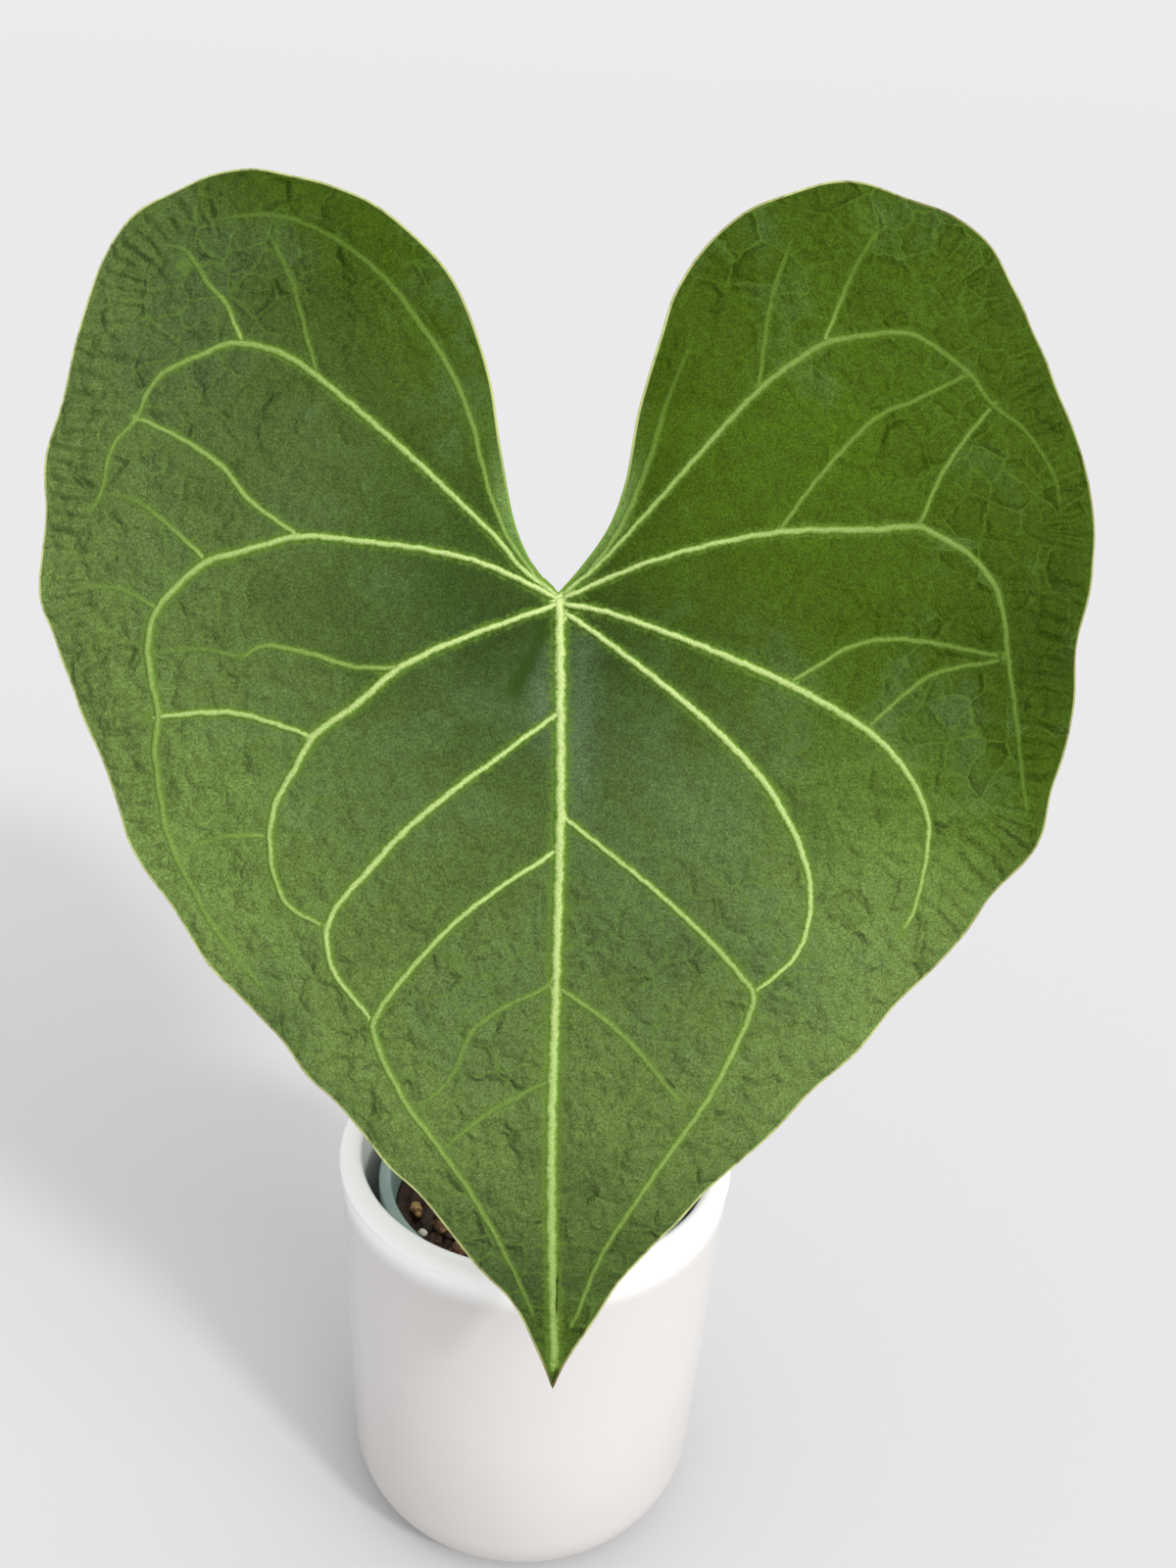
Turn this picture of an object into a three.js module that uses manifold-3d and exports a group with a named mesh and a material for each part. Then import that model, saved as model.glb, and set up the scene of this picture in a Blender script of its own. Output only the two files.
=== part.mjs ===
// A potted Anthurium clarinervium with one grown leaf: a glazed cachepot, a thin nursery pot
// standing in it, potting mix, a short stem crown, a petiole and a heart-shaped blade.
// Millimetres, +Z up. The origin is the centre of the cachepot's flat foot, and the leaf's
// tip hangs towards -Y.

import * as THREE from 'three';
import { mergeVertices } from 'three/addons/utils/BufferGeometryUtils.js';
import Module from 'manifold-3d';

const wasm = await Module();
wasm.setup();

// Driving dimensions

const SEAT_GAP = 0.3;

const POT_HEIGHT = 135;
const RIM_RADIUS = 62.5;
const RIM_ROUND = 3.5;
const BODY_TOP_RADIUS = 61.8;
const BODY_BOTTOM_RADIUS = 58;
const BASE_ROUND = 20;
const FOOT_RADIUS = 36;
const FOOT_STEP = 1;
const POT_WALL = 6.4;
const POT_FLOOR = 6;
const POT_SIDES = 64;

const NURSERY_RIM_Z = 122;
const NURSERY_LIP_RADIUS = 50.2;
const NURSERY_LIP_DROP = 3.6;
const NURSERY_TOP_RADIUS = 47.6;
const NURSERY_BOTTOM_RADIUS = 35;
const NURSERY_WALL = 1.2;
const NURSERY_SIDES = 48;
const DRAIN_HOLES = 5;
const DRAIN_RADIUS = 4;
const DRAIN_CIRCLE = 22;

const MIX_TOP_Z = 109;
const MIX_RELIEF = 1.5;
const MIX_SIDES = 36;
const CHIP_COUNT = 34;
const CHIP_SEED = 11;

const CROWN_RADIUS = 7.5;
const CROWN_BOTTOM_Z = 84;
const CROWN_TOP_Z = 123;
const CROWN_HOLE_RADIUS = CROWN_RADIUS + SEAT_GAP;
const CROWN_CENTRE_Y = 3;
const CATAPHYLLS = 3;
const CATAPHYLL_FOOT_Z = 112;

const PETIOLE_BASE_RADIUS = 4.1;
const PETIOLE_RADIUS = 2.7;
const GENICULUM_RADIUS = 3.4;
const GENICULUM_LENGTH = 20;
const PETIOLE_ROUTE = [
  [0, 4.5, 140], [0.5, 10, 175], [0.5, 14, 215], [-0.2, 13.5, 252], [-1, 7, 283], [-1.6, -6, 306],
];
const PETIOLE_SIDES = 12;
const PETIOLE_STEPS = 34;

const BLADE_THICKNESS = 1.0;
const SINUS_POINT = new THREE.Vector3(-2, -30, 326);
const BLADE_SLOPE = 71.5;
const BLADE_LEAN = 2;
const PETIOLE_SEAT = new THREE.Vector2(0.2, -5);
const SEAT_PAD_RADIUS = 6;
const SEAT_PAD_HEIGHT = 2;
const MARGIN_WAVE = 1.4;
const MARGIN_WAVE_LENGTH = 34;
const MARGIN_WAVE_REACH = 13;
const MARGIN_DROOP = 1.2;
const MARGIN_STEP = 3.4;
const VEIN_STEP = 5.2;
const FIELD_STEP = 9.6;

// The leaf's margins, each from the sinus round its lobe to the tip. Flat blade coordinates:
// u to the right, v up the blade, from the sinus.

const LEFT_MARGIN = [
  [0, 0], [-6, 6], [-11, 16], [-15, 35], [-18.5, 54], [-26, 74], [-33, 84], [-44.5, 94],
  [-58, 101.5], [-79, 106], [-94, 104.5], [-110.5, 94.5], [-119, 84], [-124, 64],
  [-130.5, 34], [-131.5, 14], [-131, -4], [-127, -16], [-118, -35.5], [-110, -55],
  [-106.5, -64.5], [-94, -83.5], [-78, -103], [-68, -112.5], [-60, -122.5], [-42, -142.5],
  [-15.5, -174.5], [-7.5, -185.5], [-1, -198.5], [2.5, -208],
];
const RIGHT_MARGIN = [
  [0, 0], [5.5, 6.5], [12, 16], [16, 27], [19, 45], [24.5, 65], [27.5, 75], [33.5, 85.5],
  [44, 96], [55.5, 102.5], [68, 106.5], [83.5, 105.5], [100, 99.5], [112.5, 90], [121.5, 70],
  [131, 50], [137, 30], [139, 19], [137.5, 9], [134.5, -7], [133.5, -21], [130, -40],
  [124, -60.5], [116, -70.5], [99, -90.5], [71, -120.5], [50.5, -141.5], [30, -163],
  [21.5, -174], [14, -185.5], [7.5, -197.5], [2.5, -208],
];

// The raised net. Each vein has its height at its root and at its end, then its route.

const VEINS = [
  [1.3, 0.4, [0, -1], [1.5, -51], [1, -146], [3, -200]],
  [0.5, 0.2, [-17, 14.5], [-22.5, 35], [-28.5, 53], [-43.5, 75], [-67, 91.5], [-88, 93]],
  [0.9, 0.4, [-1.5, -1], [-9.5, 6], [-17, 14.5], [-58.5, 50.5], [-78.5, 59], [-90.5, 58],
    [-101.5, 51], [-113, 34], [-118, 19]],
  [1.1, 0.4, [-2, -1.5], [-18, 6.5], [-30.5, 9.5], [-62.5, 12.5], [-85.5, 6.5], [-100, -6],
    [-102.5, -17], [-99, -31.5], [-100, -43], [-93, -73], [-86, -82.5], [-70.5, -102]],
  [1.1, 0.4, [-1.5, -3], [-22, -11], [-37.5, -18.5], [-59.5, -37], [-68, -53.5], [-70, -65],
    [-66, -77.5], [-56, -83.5]],
  [0.8, 0.4, [1, -29], [-33, -55.5], [-45, -68.5], [-55, -81.5], [-54.5, -93], [-44, -107]],
  [0.7, 0.3, [1, -63], [-22, -79.5], [-42, -103], [-44, -108.5], [-37.5, -125], [-27, -140],
    [-12.5, -164], [-3, -187]],
  [0.4, 0.2, [1, -96], [-18.5, -107.5], [-24.5, -120.5], [-32, -128.5]],
  [0.3, 0.2, [1, -120.5], [-14, -129], [-26, -139]],
  [0.5, 0.2, [18, 16.5], [22, 30], [26, 48], [32, 63.5]],
  [0.9, 0.4, [2, -1], [9.5, 7], [21.5, 20], [48.5, 51], [64.5, 62.5], [86.5, 67], [98, 63.5],
    [110.5, 50.5], [120, 43], [127.5, 25.5]],
  [1.1, 0.4, [2, -1.5], [25, 9], [53.5, 16], [86.5, 18.5], [95, 16], [105, 10], [111, 1.5],
    [113.5, -17.5], [121, -54]],
  [1.1, 0.4, [2, -3], [12.5, -4.5], [38.5, -13.5], [60, -22.5], [81.5, -35.5], [90, -46],
    [94, -55.5], [91.5, -75.5], [88, -83.5]],
  [0.9, 0.4, [1.5, -5], [38, -31.5], [50.5, -44], [58.5, -56], [63.5, -68.5], [64, -78.5],
    [61, -88.5], [50.5, -98]],
  [0.7, 0.3, [1, -54], [28.5, -75], [47.5, -94], [50.5, -98.5], [43, -119.5], [16.5, -164],
    [7, -189]],
  [0.4, 0.2, [1, -96.5], [16.5, -107.5], [34.5, -128]],
  [0.4, 0.2, [-60, 52], [-69, 77], [-75, 92]],
  [0.4, 0.2, [-79, 59], [-94, 82], [-101, 86.5]],
  [0.4, 0.2, [-63, 12.5], [-88, 32], [-108, 42]],
  [0.4, 0.2, [-86, 6.5], [-101, 16], [-118, 19]],
  [0.4, 0.2, [-38, -19], [-68, -15], [-77, -16.5], [-102, -18]],
  [0.4, 0.2, [-60, -37], [-80, -31], [-99, -32]],
  [0.4, 0.2, [-70, -61], [-83, -62], [-96, -66]],
  [0.4, 0.2, [48.5, 51], [52, 75], [57, 90]],
  [0.4, 0.2, [65, 62.5], [73.5, 84], [79.5, 93.5]],
  [0.4, 0.2, [54, 16], [61, 26], [77, 44], [102, 60]],
  [0.4, 0.2, [87, 18.5], [97.5, 35.5], [110.5, 50]],
  [0.4, 0.2, [57, -21], [73.5, -12], [88, -11.5], [112, -16]],
  [0.4, 0.2, [77, -32], [93.5, -18.5]],
];
const VEIN_FOOT = 2.3;
const UNDERSIDE_SHARE = 1.4;

// Finishes

const FINISHES = {
  glaze: { color: 0xeeece8, roughness: 0.15, metalness: 0 },
  thinPlastic: { color: 0x7fa39b, roughness: 0.4, metalness: 0 },
  mix: { color: 0x2b211a, roughness: 0.95, metalness: 0 },
  crown: { color: 0x6d5a35, roughness: 0.8, metalness: 0 },
  petiole: { color: 0x6f8a3c, roughness: 0.5, metalness: 0 },
  blade: { color: 0x4f6b30, roughness: 0.55, metalness: 0 },
};

const finish = (name) => new THREE.MeshStandardMaterial({ ...FINISHES[name], name });

// Shared geometry

// A repeatable draw between 0 and 1 from a whole-number seed.
function seededDraw(seed) {
  let state = seed;
  return () => {
    state = (state * 1664525 + 1013904223) % 4294967296;
    return state / 4294967296;
  };
}

// A BufferGeometry with shared vertices and no flat triangles, from any geometry.
function welded(geometry) {
  const plain = geometry.clone();
  plain.deleteAttribute('normal');
  plain.deleteAttribute('uv');
  const merged = mergeVertices(plain, 1e-4);
  const kept = [];
  const index = merged.index.array;
  for (let i = 0; i < index.length; i += 3) {
    const [a, b, c] = [index[i], index[i + 1], index[i + 2]];
    if (a !== b && b !== c && c !== a) kept.push(a, b, c);
  }
  merged.setIndex(kept);
  return merged;
}

function geometryFrom(points, triangles) {
  const geometry = new THREE.BufferGeometry();
  geometry.setAttribute('position', new THREE.Float32BufferAttribute(points.flat(), 3));
  geometry.setIndex(triangles.flat());
  return geometry;
}

function toSolid(geometry) {
  const shared = welded(geometry);
  return new wasm.Manifold(new wasm.Mesh({
    numProp: 3,
    vertProperties: new Float32Array(shared.attributes.position.array),
    triVerts: new Uint32Array(shared.index.array),
  }));
}

function toGeometry(solid) {
  const mesh = solid.getMesh();
  const geometry = new THREE.BufferGeometry();
  geometry.setAttribute('position', new THREE.Float32BufferAttribute(mesh.vertProperties, 3));
  geometry.setIndex(Array.from(mesh.triVerts));
  return geometry;
}

// A profile of [radius, height] points turned round the Z axis, inside on its left.
function turned(profile, sides) {
  const points = profile.map(([radius, height]) => new THREE.Vector2(radius, height));
  const geometry = new THREE.LatheGeometry(points, sides);
  geometry.rotateX(Math.PI / 2);
  return welded(geometry);
}

// Points on an arc of a profile, from one angle to another in degrees.
function arc(centreRadius, centreHeight, radius, from, to, steps) {
  return Array.from({ length: steps + 1 }, (_, i) => {
    const angle = THREE.MathUtils.degToRad(from + ((to - from) * i) / steps);
    return [centreRadius + radius * Math.cos(angle), centreHeight + radius * Math.sin(angle)];
  });
}

// A tube of changing radius along a curve, closed by a flat cap at each end.
function lofted(curve, radiusAt, sides, steps) {
  const frames = curve.computeFrenetFrames(steps, false);
  const points = [];
  const triangles = [];
  for (let i = 0; i <= steps; i += 1) {
    const centre = curve.getPointAt(i / steps);
    const radius = radiusAt(i / steps);
    for (let j = 0; j < sides; j += 1) {
      const angle = (2 * Math.PI * j) / sides;
      const point = centre.clone()
        .addScaledVector(frames.normals[i], radius * Math.cos(angle))
        .addScaledVector(frames.binormals[i], radius * Math.sin(angle));
      points.push(point.toArray());
    }
  }
  for (let i = 0; i < steps; i += 1) {
    for (let j = 0; j < sides; j += 1) {
      const [a, b] = [i * sides + j, i * sides + ((j + 1) % sides)];
      triangles.push([a, b, b + sides], [a, b + sides, a + sides]);
    }
  }
  const last = steps * sides;
  for (let j = 1; j < sides - 1; j += 1) {
    triangles.push([0, j + 1, j], [last, last + j, last + j + 1]);
  }
  return geometryFrom(points, triangles);
}

// Cachepot: a thrown and glazed pot with a rolled rim, tapering to a well-rounded base.

function cachepotGeometry() {
  const rimCentre = RIM_RADIUS - RIM_ROUND;
  const innerTop = BODY_TOP_RADIUS - POT_WALL;
  const innerBottom = BODY_BOTTOM_RADIUS - POT_WALL;
  const innerRound = BASE_ROUND - POT_WALL;
  const bodyCentre = BODY_BOTTOM_RADIUS - BASE_ROUND;
  const profile = [
    [0, 0],
    [FOOT_RADIUS, 0],
    [FOOT_RADIUS + FOOT_STEP, FOOT_STEP],
    ...arc(bodyCentre, BASE_ROUND + FOOT_STEP / 2, BASE_ROUND, -82, 0, 6),
    [BODY_TOP_RADIUS, POT_HEIGHT - 3 * RIM_ROUND],
    ...arc(rimCentre, POT_HEIGHT - RIM_ROUND, RIM_ROUND, -40, 180, 8),
    [innerTop, POT_HEIGHT - 2 * RIM_ROUND],
    ...arc(innerBottom - innerRound, POT_FLOOR + innerRound, innerRound, 0, -90, 3),
    [0, POT_FLOOR],
  ];
  return turned(profile, POT_SIDES);
}

// Nursery pot: thin moulded plastic with a turned-out lip and drain holes in its floor.

const nurseryFloorZ = POT_FLOOR + SEAT_GAP;

function nurseryRadiusAt(z) {
  const share = (z - nurseryFloorZ) / (NURSERY_RIM_Z - nurseryFloorZ);
  return NURSERY_BOTTOM_RADIUS + (NURSERY_TOP_RADIUS - NURSERY_BOTTOM_RADIUS) * share;
}

function nurseryPotGeometry() {
  const insideFloor = nurseryFloorZ + NURSERY_WALL;
  const lipUnder = NURSERY_RIM_Z - NURSERY_LIP_DROP;
  const shell = turned([
    [0, nurseryFloorZ],
    [NURSERY_BOTTOM_RADIUS, nurseryFloorZ],
    [nurseryRadiusAt(lipUnder + 2), lipUnder + 2],
    [NURSERY_LIP_RADIUS - NURSERY_WALL, lipUnder + 2],
    [NURSERY_LIP_RADIUS - NURSERY_WALL, lipUnder],
    [NURSERY_LIP_RADIUS, lipUnder],
    [NURSERY_LIP_RADIUS, NURSERY_RIM_Z - 0.6],
    [NURSERY_LIP_RADIUS - 0.6, NURSERY_RIM_Z],
    [NURSERY_TOP_RADIUS - NURSERY_WALL, NURSERY_RIM_Z],
    [nurseryRadiusAt(insideFloor) - NURSERY_WALL, insideFloor],
    [0, insideFloor],
  ], NURSERY_SIDES);
  let pot = toSolid(shell);
  for (let i = 0; i < DRAIN_HOLES; i += 1) {
    const angle = (2 * Math.PI * i) / DRAIN_HOLES;
    const hole = new THREE.CylinderGeometry(DRAIN_RADIUS, DRAIN_RADIUS, 4 * NURSERY_WALL, 14);
    hole.rotateX(Math.PI / 2);
    hole.translate(DRAIN_CIRCLE * Math.cos(angle), DRAIN_CIRCLE * Math.sin(angle), nurseryFloorZ);
    pot = pot.subtract(toSolid(hole));
  }
  return toGeometry(pot);
}

// Potting mix: a plug of coarse bark mix with lumps on top, and a plain hole for the crown.

const mixFloorZ = nurseryFloorZ + NURSERY_WALL + SEAT_GAP;

function mixRadiusAt(z) {
  return nurseryRadiusAt(z) - NURSERY_WALL - SEAT_GAP;
}

// Height of the mix over its level top: crossed waves that die out at the pot's wall.
function mixRelief(x, y) {
  const fade = THREE.MathUtils.smoothstep(mixRadiusAt(MIX_TOP_Z) - Math.hypot(x, y), 0, 8);
  const coarse = Math.sin(0.31 * x + 1) * Math.cos(0.27 * y);
  const fine = Math.sin(0.83 * x + 0.55 * y) * Math.sin(0.7 * y - 0.4 * x + 2);
  return MIX_RELIEF * fade * (coarse + fine);
}

function mixPlug() {
  const radii = [1, 0.93, 0.83, 0.7, 0.55, 0.4, 0.22].map((share) => share * mixRadiusAt(MIX_TOP_Z));
  const points = [[0, 0, mixFloorZ], [0, 0, MIX_TOP_Z]];
  const triangles = [];
  const ring = (radius, heightAt) => {
    for (let j = 0; j < MIX_SIDES; j += 1) {
      const angle = (2 * Math.PI * j) / MIX_SIDES;
      const [x, y] = [radius * Math.cos(angle), radius * Math.sin(angle)];
      points.push([x, y, heightAt(x, y)]);
    }
  };
  ring(mixRadiusAt(mixFloorZ), () => mixFloorZ);
  radii.forEach((radius) => ring(radius, (x, y) => MIX_TOP_Z + mixRelief(x, y)));
  const start = (row) => 2 + row * MIX_SIDES;
  const rows = radii.length;
  for (let j = 0; j < MIX_SIDES; j += 1) {
    const next = (j + 1) % MIX_SIDES;
    triangles.push([0, start(0) + next, start(0) + j]);
    triangles.push([1, start(rows) + j, start(rows) + next]);
    for (let row = 0; row < rows; row += 1) {
      const [a, b] = [start(row) + j, start(row) + next];
      triangles.push([a, b, b + MIX_SIDES], [a, b + MIX_SIDES, a + MIX_SIDES]);
    }
  }
  return toSolid(geometryFrom(points, triangles));
}

// One chunk of bark: a flattened twenty-sided lump, turned at random and half sunk.
function barkChunk(draw) {
  const halfLength = 3.5 + 3.5 * draw();
  const reach = (mixRadiusAt(MIX_TOP_Z) - halfLength - 1) * Math.sqrt(0.06 + 0.94 * draw());
  const bearing = 2 * Math.PI * draw();
  const [x, y] = [reach * Math.cos(bearing), reach * Math.sin(bearing)];
  const chunk = new THREE.IcosahedronGeometry(1, 0);
  chunk.scale(halfLength, halfLength * (0.5 + 0.3 * draw()), halfLength * (0.3 + 0.2 * draw()));
  chunk.rotateX(0.5 * (draw() - 0.5));
  chunk.rotateY(0.5 * (draw() - 0.5));
  chunk.rotateZ(2 * Math.PI * draw());
  chunk.translate(x, y, MIX_TOP_Z + mixRelief(x, y) + 0.6);
  return toSolid(chunk);
}

function pottingMixGeometry() {
  const draw = seededDraw(CHIP_SEED);
  let mix = mixPlug();
  for (let i = 0; i < CHIP_COUNT; i += 1) mix = mix.add(barkChunk(draw));
  const holeTop = MIX_TOP_Z + 20;
  const holeBottom = CROWN_BOTTOM_Z - SEAT_GAP;
  const depth = holeTop - holeBottom;
  const hole = new THREE.CylinderGeometry(CROWN_HOLE_RADIUS, CROWN_HOLE_RADIUS, depth, 24);
  hole.rotateX(Math.PI / 2);
  hole.translate(0, CROWN_CENTRE_Y, (holeTop + holeBottom) / 2);
  const bodies = mix.subtract(toSolid(hole)).decompose();
  bodies.sort((one, other) => other.volume() - one.volume());
  return toGeometry(bodies[0]);
}

// Stem crown: the short thick stem, ringed by old leaf scars, with papery cataphylls.

function stemCrownGeometry() {
  const core = turned([
    [0, CROWN_BOTTOM_Z],
    [CROWN_RADIUS - 2, CROWN_BOTTOM_Z],
    [CROWN_RADIUS - 0.6, CROWN_BOTTOM_Z + 8],
    [CROWN_RADIUS - 0.2, CROWN_TOP_Z - 12],
    [CROWN_RADIUS - 1, CROWN_TOP_Z - 8],
    [CROWN_RADIUS - 1.8, CROWN_TOP_Z - 3],
    [CROWN_RADIUS - 2.6, CROWN_TOP_Z],
    [0, CROWN_TOP_Z],
  ], 16);
  let crown = toSolid(core);
  for (let i = 0; i < CATAPHYLLS; i += 1) {
    const length = 24 - 5 * i;
    const sheath = new THREE.ConeGeometry(3.6, length, 8);
    sheath.rotateX(Math.PI / 2);
    sheath.scale(1, 0.45, 1);
    sheath.translate(0, 0, length / 2);
    sheath.rotateX(-0.22 - 0.06 * i);
    sheath.translate(0, CROWN_RADIUS - 2.6, CATAPHYLL_FOOT_Z);
    sheath.rotateZ(0.9 + (2 * Math.PI * i) / CATAPHYLLS);
    crown = crown.add(toSolid(sheath));
  }
  const geometry = toGeometry(crown);
  geometry.translate(0, CROWN_CENTRE_Y, 0);
  return geometry;
}

// Blade frame: u to the right, v up the blade, and the normal out of its upper face.

const slope = THREE.MathUtils.degToRad(BLADE_SLOPE);
const lean = THREE.MathUtils.degToRad(BLADE_LEAN);
const bladeNormal = new THREE.Vector3(0, -Math.sin(slope), Math.cos(slope));
const upSlope = new THREE.Vector3(0, Math.cos(slope), Math.sin(slope));
const level = new THREE.Vector3(1, 0, 0);
const bladeRight = level.clone().multiplyScalar(Math.cos(lean)).addScaledVector(upSlope, Math.sin(lean));
const bladeUp = upSlope.clone().multiplyScalar(Math.cos(lean)).addScaledVector(level, -Math.sin(lean));

const ARCH_CREST = -90;
const ARCH_RADIUS_LOW = 520;
const ARCH_RADIUS_HIGH = 700;
const ARCH_LIFT = 11.3;
const CROSS_RADIUS = 560;
const TROUGH_DEPTH = 5.5;
const TROUGH_WIDTH = 20;
const TROUGH_LENGTH = 75;

// Stand-off from the flat frame: an arch along the midrib, another across the blade, and a
// trough that the midrib lies in near the sinus.
function bladeStandOff(u, v) {
  const below = Math.min(v - ARCH_CREST, 0);
  const above = Math.max(v - ARCH_CREST, 0);
  const along = ARCH_LIFT - below ** 2 / (2 * ARCH_RADIUS_LOW) - above ** 2 / (2 * ARCH_RADIUS_HIGH);
  const across = u ** 2 / (2 * CROSS_RADIUS);
  const trough = TROUGH_DEPTH * Math.exp(-((u / TROUGH_WIDTH) ** 2) - ((v + 5) / TROUGH_LENGTH) ** 2);
  return along - across - trough;
}

function bladePoint(u, v, extra = 0) {
  return SINUS_POINT.clone()
    .addScaledVector(bladeRight, u)
    .addScaledVector(bladeUp, v)
    .addScaledVector(bladeNormal, bladeStandOff(u, v) + extra);
}

function bladeNormalAt(u, v) {
  const du = bladePoint(u + 0.5, v).sub(bladePoint(u - 0.5, v));
  const dv = bladePoint(u, v + 0.5).sub(bladePoint(u, v - 0.5));
  return du.cross(dv).normalize();
}

// Flat curves of the blade: its outline and its veins

const flatCurve = (knots) => new THREE.CatmullRomCurve3(
  knots.map(([u, v]) => new THREE.Vector3(u, v, 0)), false, 'centripetal',
);

function spaced(curve, step) {
  const count = Math.max(1, Math.round(curve.getLength() / step));
  return curve.getSpacedPoints(count).map((point) => [point.x, point.y]);
}

const leftOutline = spaced(flatCurve(LEFT_MARGIN), MARGIN_STEP);
const rightOutline = spaced(flatCurve(RIGHT_MARGIN), MARGIN_STEP);
const outline = [...leftOutline, ...rightOutline.slice(1, -1).reverse()];

const veinRoutes = VEINS.map(([rootHeight, endHeight, ...knots]) => ({
  rootHeight, endHeight, route: spaced(flatCurve(knots), VEIN_STEP),
}));

function distanceToSegment([pu, pv], [au, av], [bu, bv]) {
  const [du, dv] = [bu - au, bv - av];
  const along = ((pu - au) * du + (pv - av) * dv) / (du * du + dv * dv);
  const share = THREE.MathUtils.clamp(along, 0, 1);
  return { distance: Math.hypot(pu - au - share * du, pv - av - share * dv), share };
}

// The nearest place on the outline: how far away it is, and how far round the leaf it lies.
function nearestOnOutline(point) {
  let nearest = { distance: Infinity, round: 0 };
  outline.forEach((corner, i) => {
    const { distance, share } = distanceToSegment(point, corner, outline[(i + 1) % outline.length]);
    if (distance < nearest.distance) nearest = { distance, round: (i + share) * MARGIN_STEP };
  });
  return nearest;
}

// Lift of the waved margin: long waves round the leaf that die out inwards, on a slight droop.
function marginLift(point) {
  const { distance, round } = nearestOnOutline(point);
  const wave = MARGIN_WAVE * Math.sin((2 * Math.PI * round) / MARGIN_WAVE_LENGTH);
  const fromSinus = THREE.MathUtils.smoothstep(Math.hypot(...point), 20, 60);
  return (wave - MARGIN_DROOP) * fromSinus * Math.exp(-distance / MARGIN_WAVE_REACH);
}

// Height of the raised net: the highest vein ridge at a point, each a low parabola.
function veinRelief(point) {
  let highest = 0;
  for (const { rootHeight, endHeight, route } of veinRoutes) {
    for (let i = 0; i + 1 < route.length; i += 1) {
      const { distance, share } = distanceToSegment(point, route[i], route[i + 1]);
      if (distance < VEIN_FOOT) {
        const run = (i + share) / (route.length - 1);
        const crest = rootHeight + (endHeight - rootHeight) * run;
        highest = Math.max(highest, crest * (1 - (distance / VEIN_FOOT) ** 2));
      }
    }
  }
  return highest;
}

function insideOutline([u, v]) {
  let inside = false;
  for (let i = 0, j = outline.length - 1; i < outline.length; j = i, i += 1) {
    const [[ui, vi], [uj, vj]] = [outline[i], outline[j]];
    if ((vi > v) !== (vj > v) && u < ((uj - ui) * (v - vi)) / (vj - vi) + ui) inside = !inside;
  }
  return inside;
}

// Points that the blade is split on: its outline, a row along each vein with one on either
// side, and a field of loose triangles between them.
function bladePoints() {
  const points = [...outline];
  const addAll = (candidates, spacing, marginSpacing) => candidates.forEach((candidate) => {
    const clear = points.every(([u, v]) => Math.hypot(u - candidate[0], v - candidate[1]) > spacing);
    const inside = clear && insideOutline(candidate);
    if (inside && nearestOnOutline(candidate).distance > marginSpacing) points.push(candidate);
  });
  veinRoutes.forEach(({ route }) => addAll(route, 1.6, 1.4));
  veinRoutes.forEach(({ route }) => {
    route.slice(0, -1).forEach((start, i) => {
      const end = route[i + 1];
      const length = Math.hypot(end[0] - start[0], end[1] - start[1]);
      const side = [-(end[1] - start[1]) / length, (end[0] - start[0]) / length];
      const middle = [(start[0] + end[0]) / 2, (start[1] + end[1]) / 2];
      const beside = (sign) => [middle[0] + sign * VEIN_FOOT * side[0], middle[1] + sign * VEIN_FOOT * side[1]];
      addAll([beside(1), beside(-1)], 2, 1.4);
    });
  });
  const draw = seededDraw(5);
  const field = [];
  for (let row = -30; row < 20; row += 1) {
    for (let column = -20; column < 20; column += 1) {
      const u = (column + (row % 2) / 2) * FIELD_STEP + draw() - 0.5;
      const v = row * FIELD_STEP * 0.87 + draw() - 0.5;
      field.push([u, v]);
    }
  }
  addAll(field, 0.55 * FIELD_STEP, 3.5);
  return points;
}

// Delaunay triangles of flat points, by adding them one at a time: the triangles whose
// circle holds the new point are dropped, and their rim is fanned to it.
function triangulated(points) {
  const far = 2000;
  const all = [...points, [-far, -far], [far, -far], [0, far]];
  const withCircle = (a, b, c) => {
    const [[ax, ay], [bx, by], [cx, cy]] = [all[a], all[b], all[c]];
    const d = 2 * (ax * (by - cy) + bx * (cy - ay) + cx * (ay - by));
    const [a2, b2, c2] = [ax * ax + ay * ay, bx * bx + by * by, cx * cx + cy * cy];
    const x = (a2 * (by - cy) + b2 * (cy - ay) + c2 * (ay - by)) / d;
    const y = (a2 * (cx - bx) + b2 * (ax - cx) + c2 * (bx - ax)) / d;
    return { corners: [a, b, c], x, y, radius2: (ax - x) ** 2 + (ay - y) ** 2 };
  };
  let triangles = [withCircle(points.length, points.length + 1, points.length + 2)];
  points.forEach(([px, py], index) => {
    const rim = new Map();
    const kept = [];
    triangles.forEach((triangle) => {
      if ((px - triangle.x) ** 2 + (py - triangle.y) ** 2 > triangle.radius2) {
        kept.push(triangle);
        return;
      }
      const [a, b, c] = triangle.corners;
      [[a, b], [b, c], [c, a]].forEach(([from, to]) => {
        if (!rim.delete(`${to} ${from}`)) rim.set(`${from} ${to}`, [from, to]);
      });
    });
    rim.forEach(([from, to]) => kept.push(withCircle(from, to, index)));
    triangles = kept;
  });
  return triangles.map(({ corners }) => corners).filter((corners) => {
    if (corners.some((corner) => corner >= points.length)) return false;
    const [a, b, c] = corners.map((corner) => points[corner]);
    return insideOutline([(a[0] + b[0] + c[0]) / 3, (a[1] + b[1] + c[1]) / 3]);
  });
}

// Leaf blade: the same triangles on its upper face and its underside, joined by a thin wall.

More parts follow.
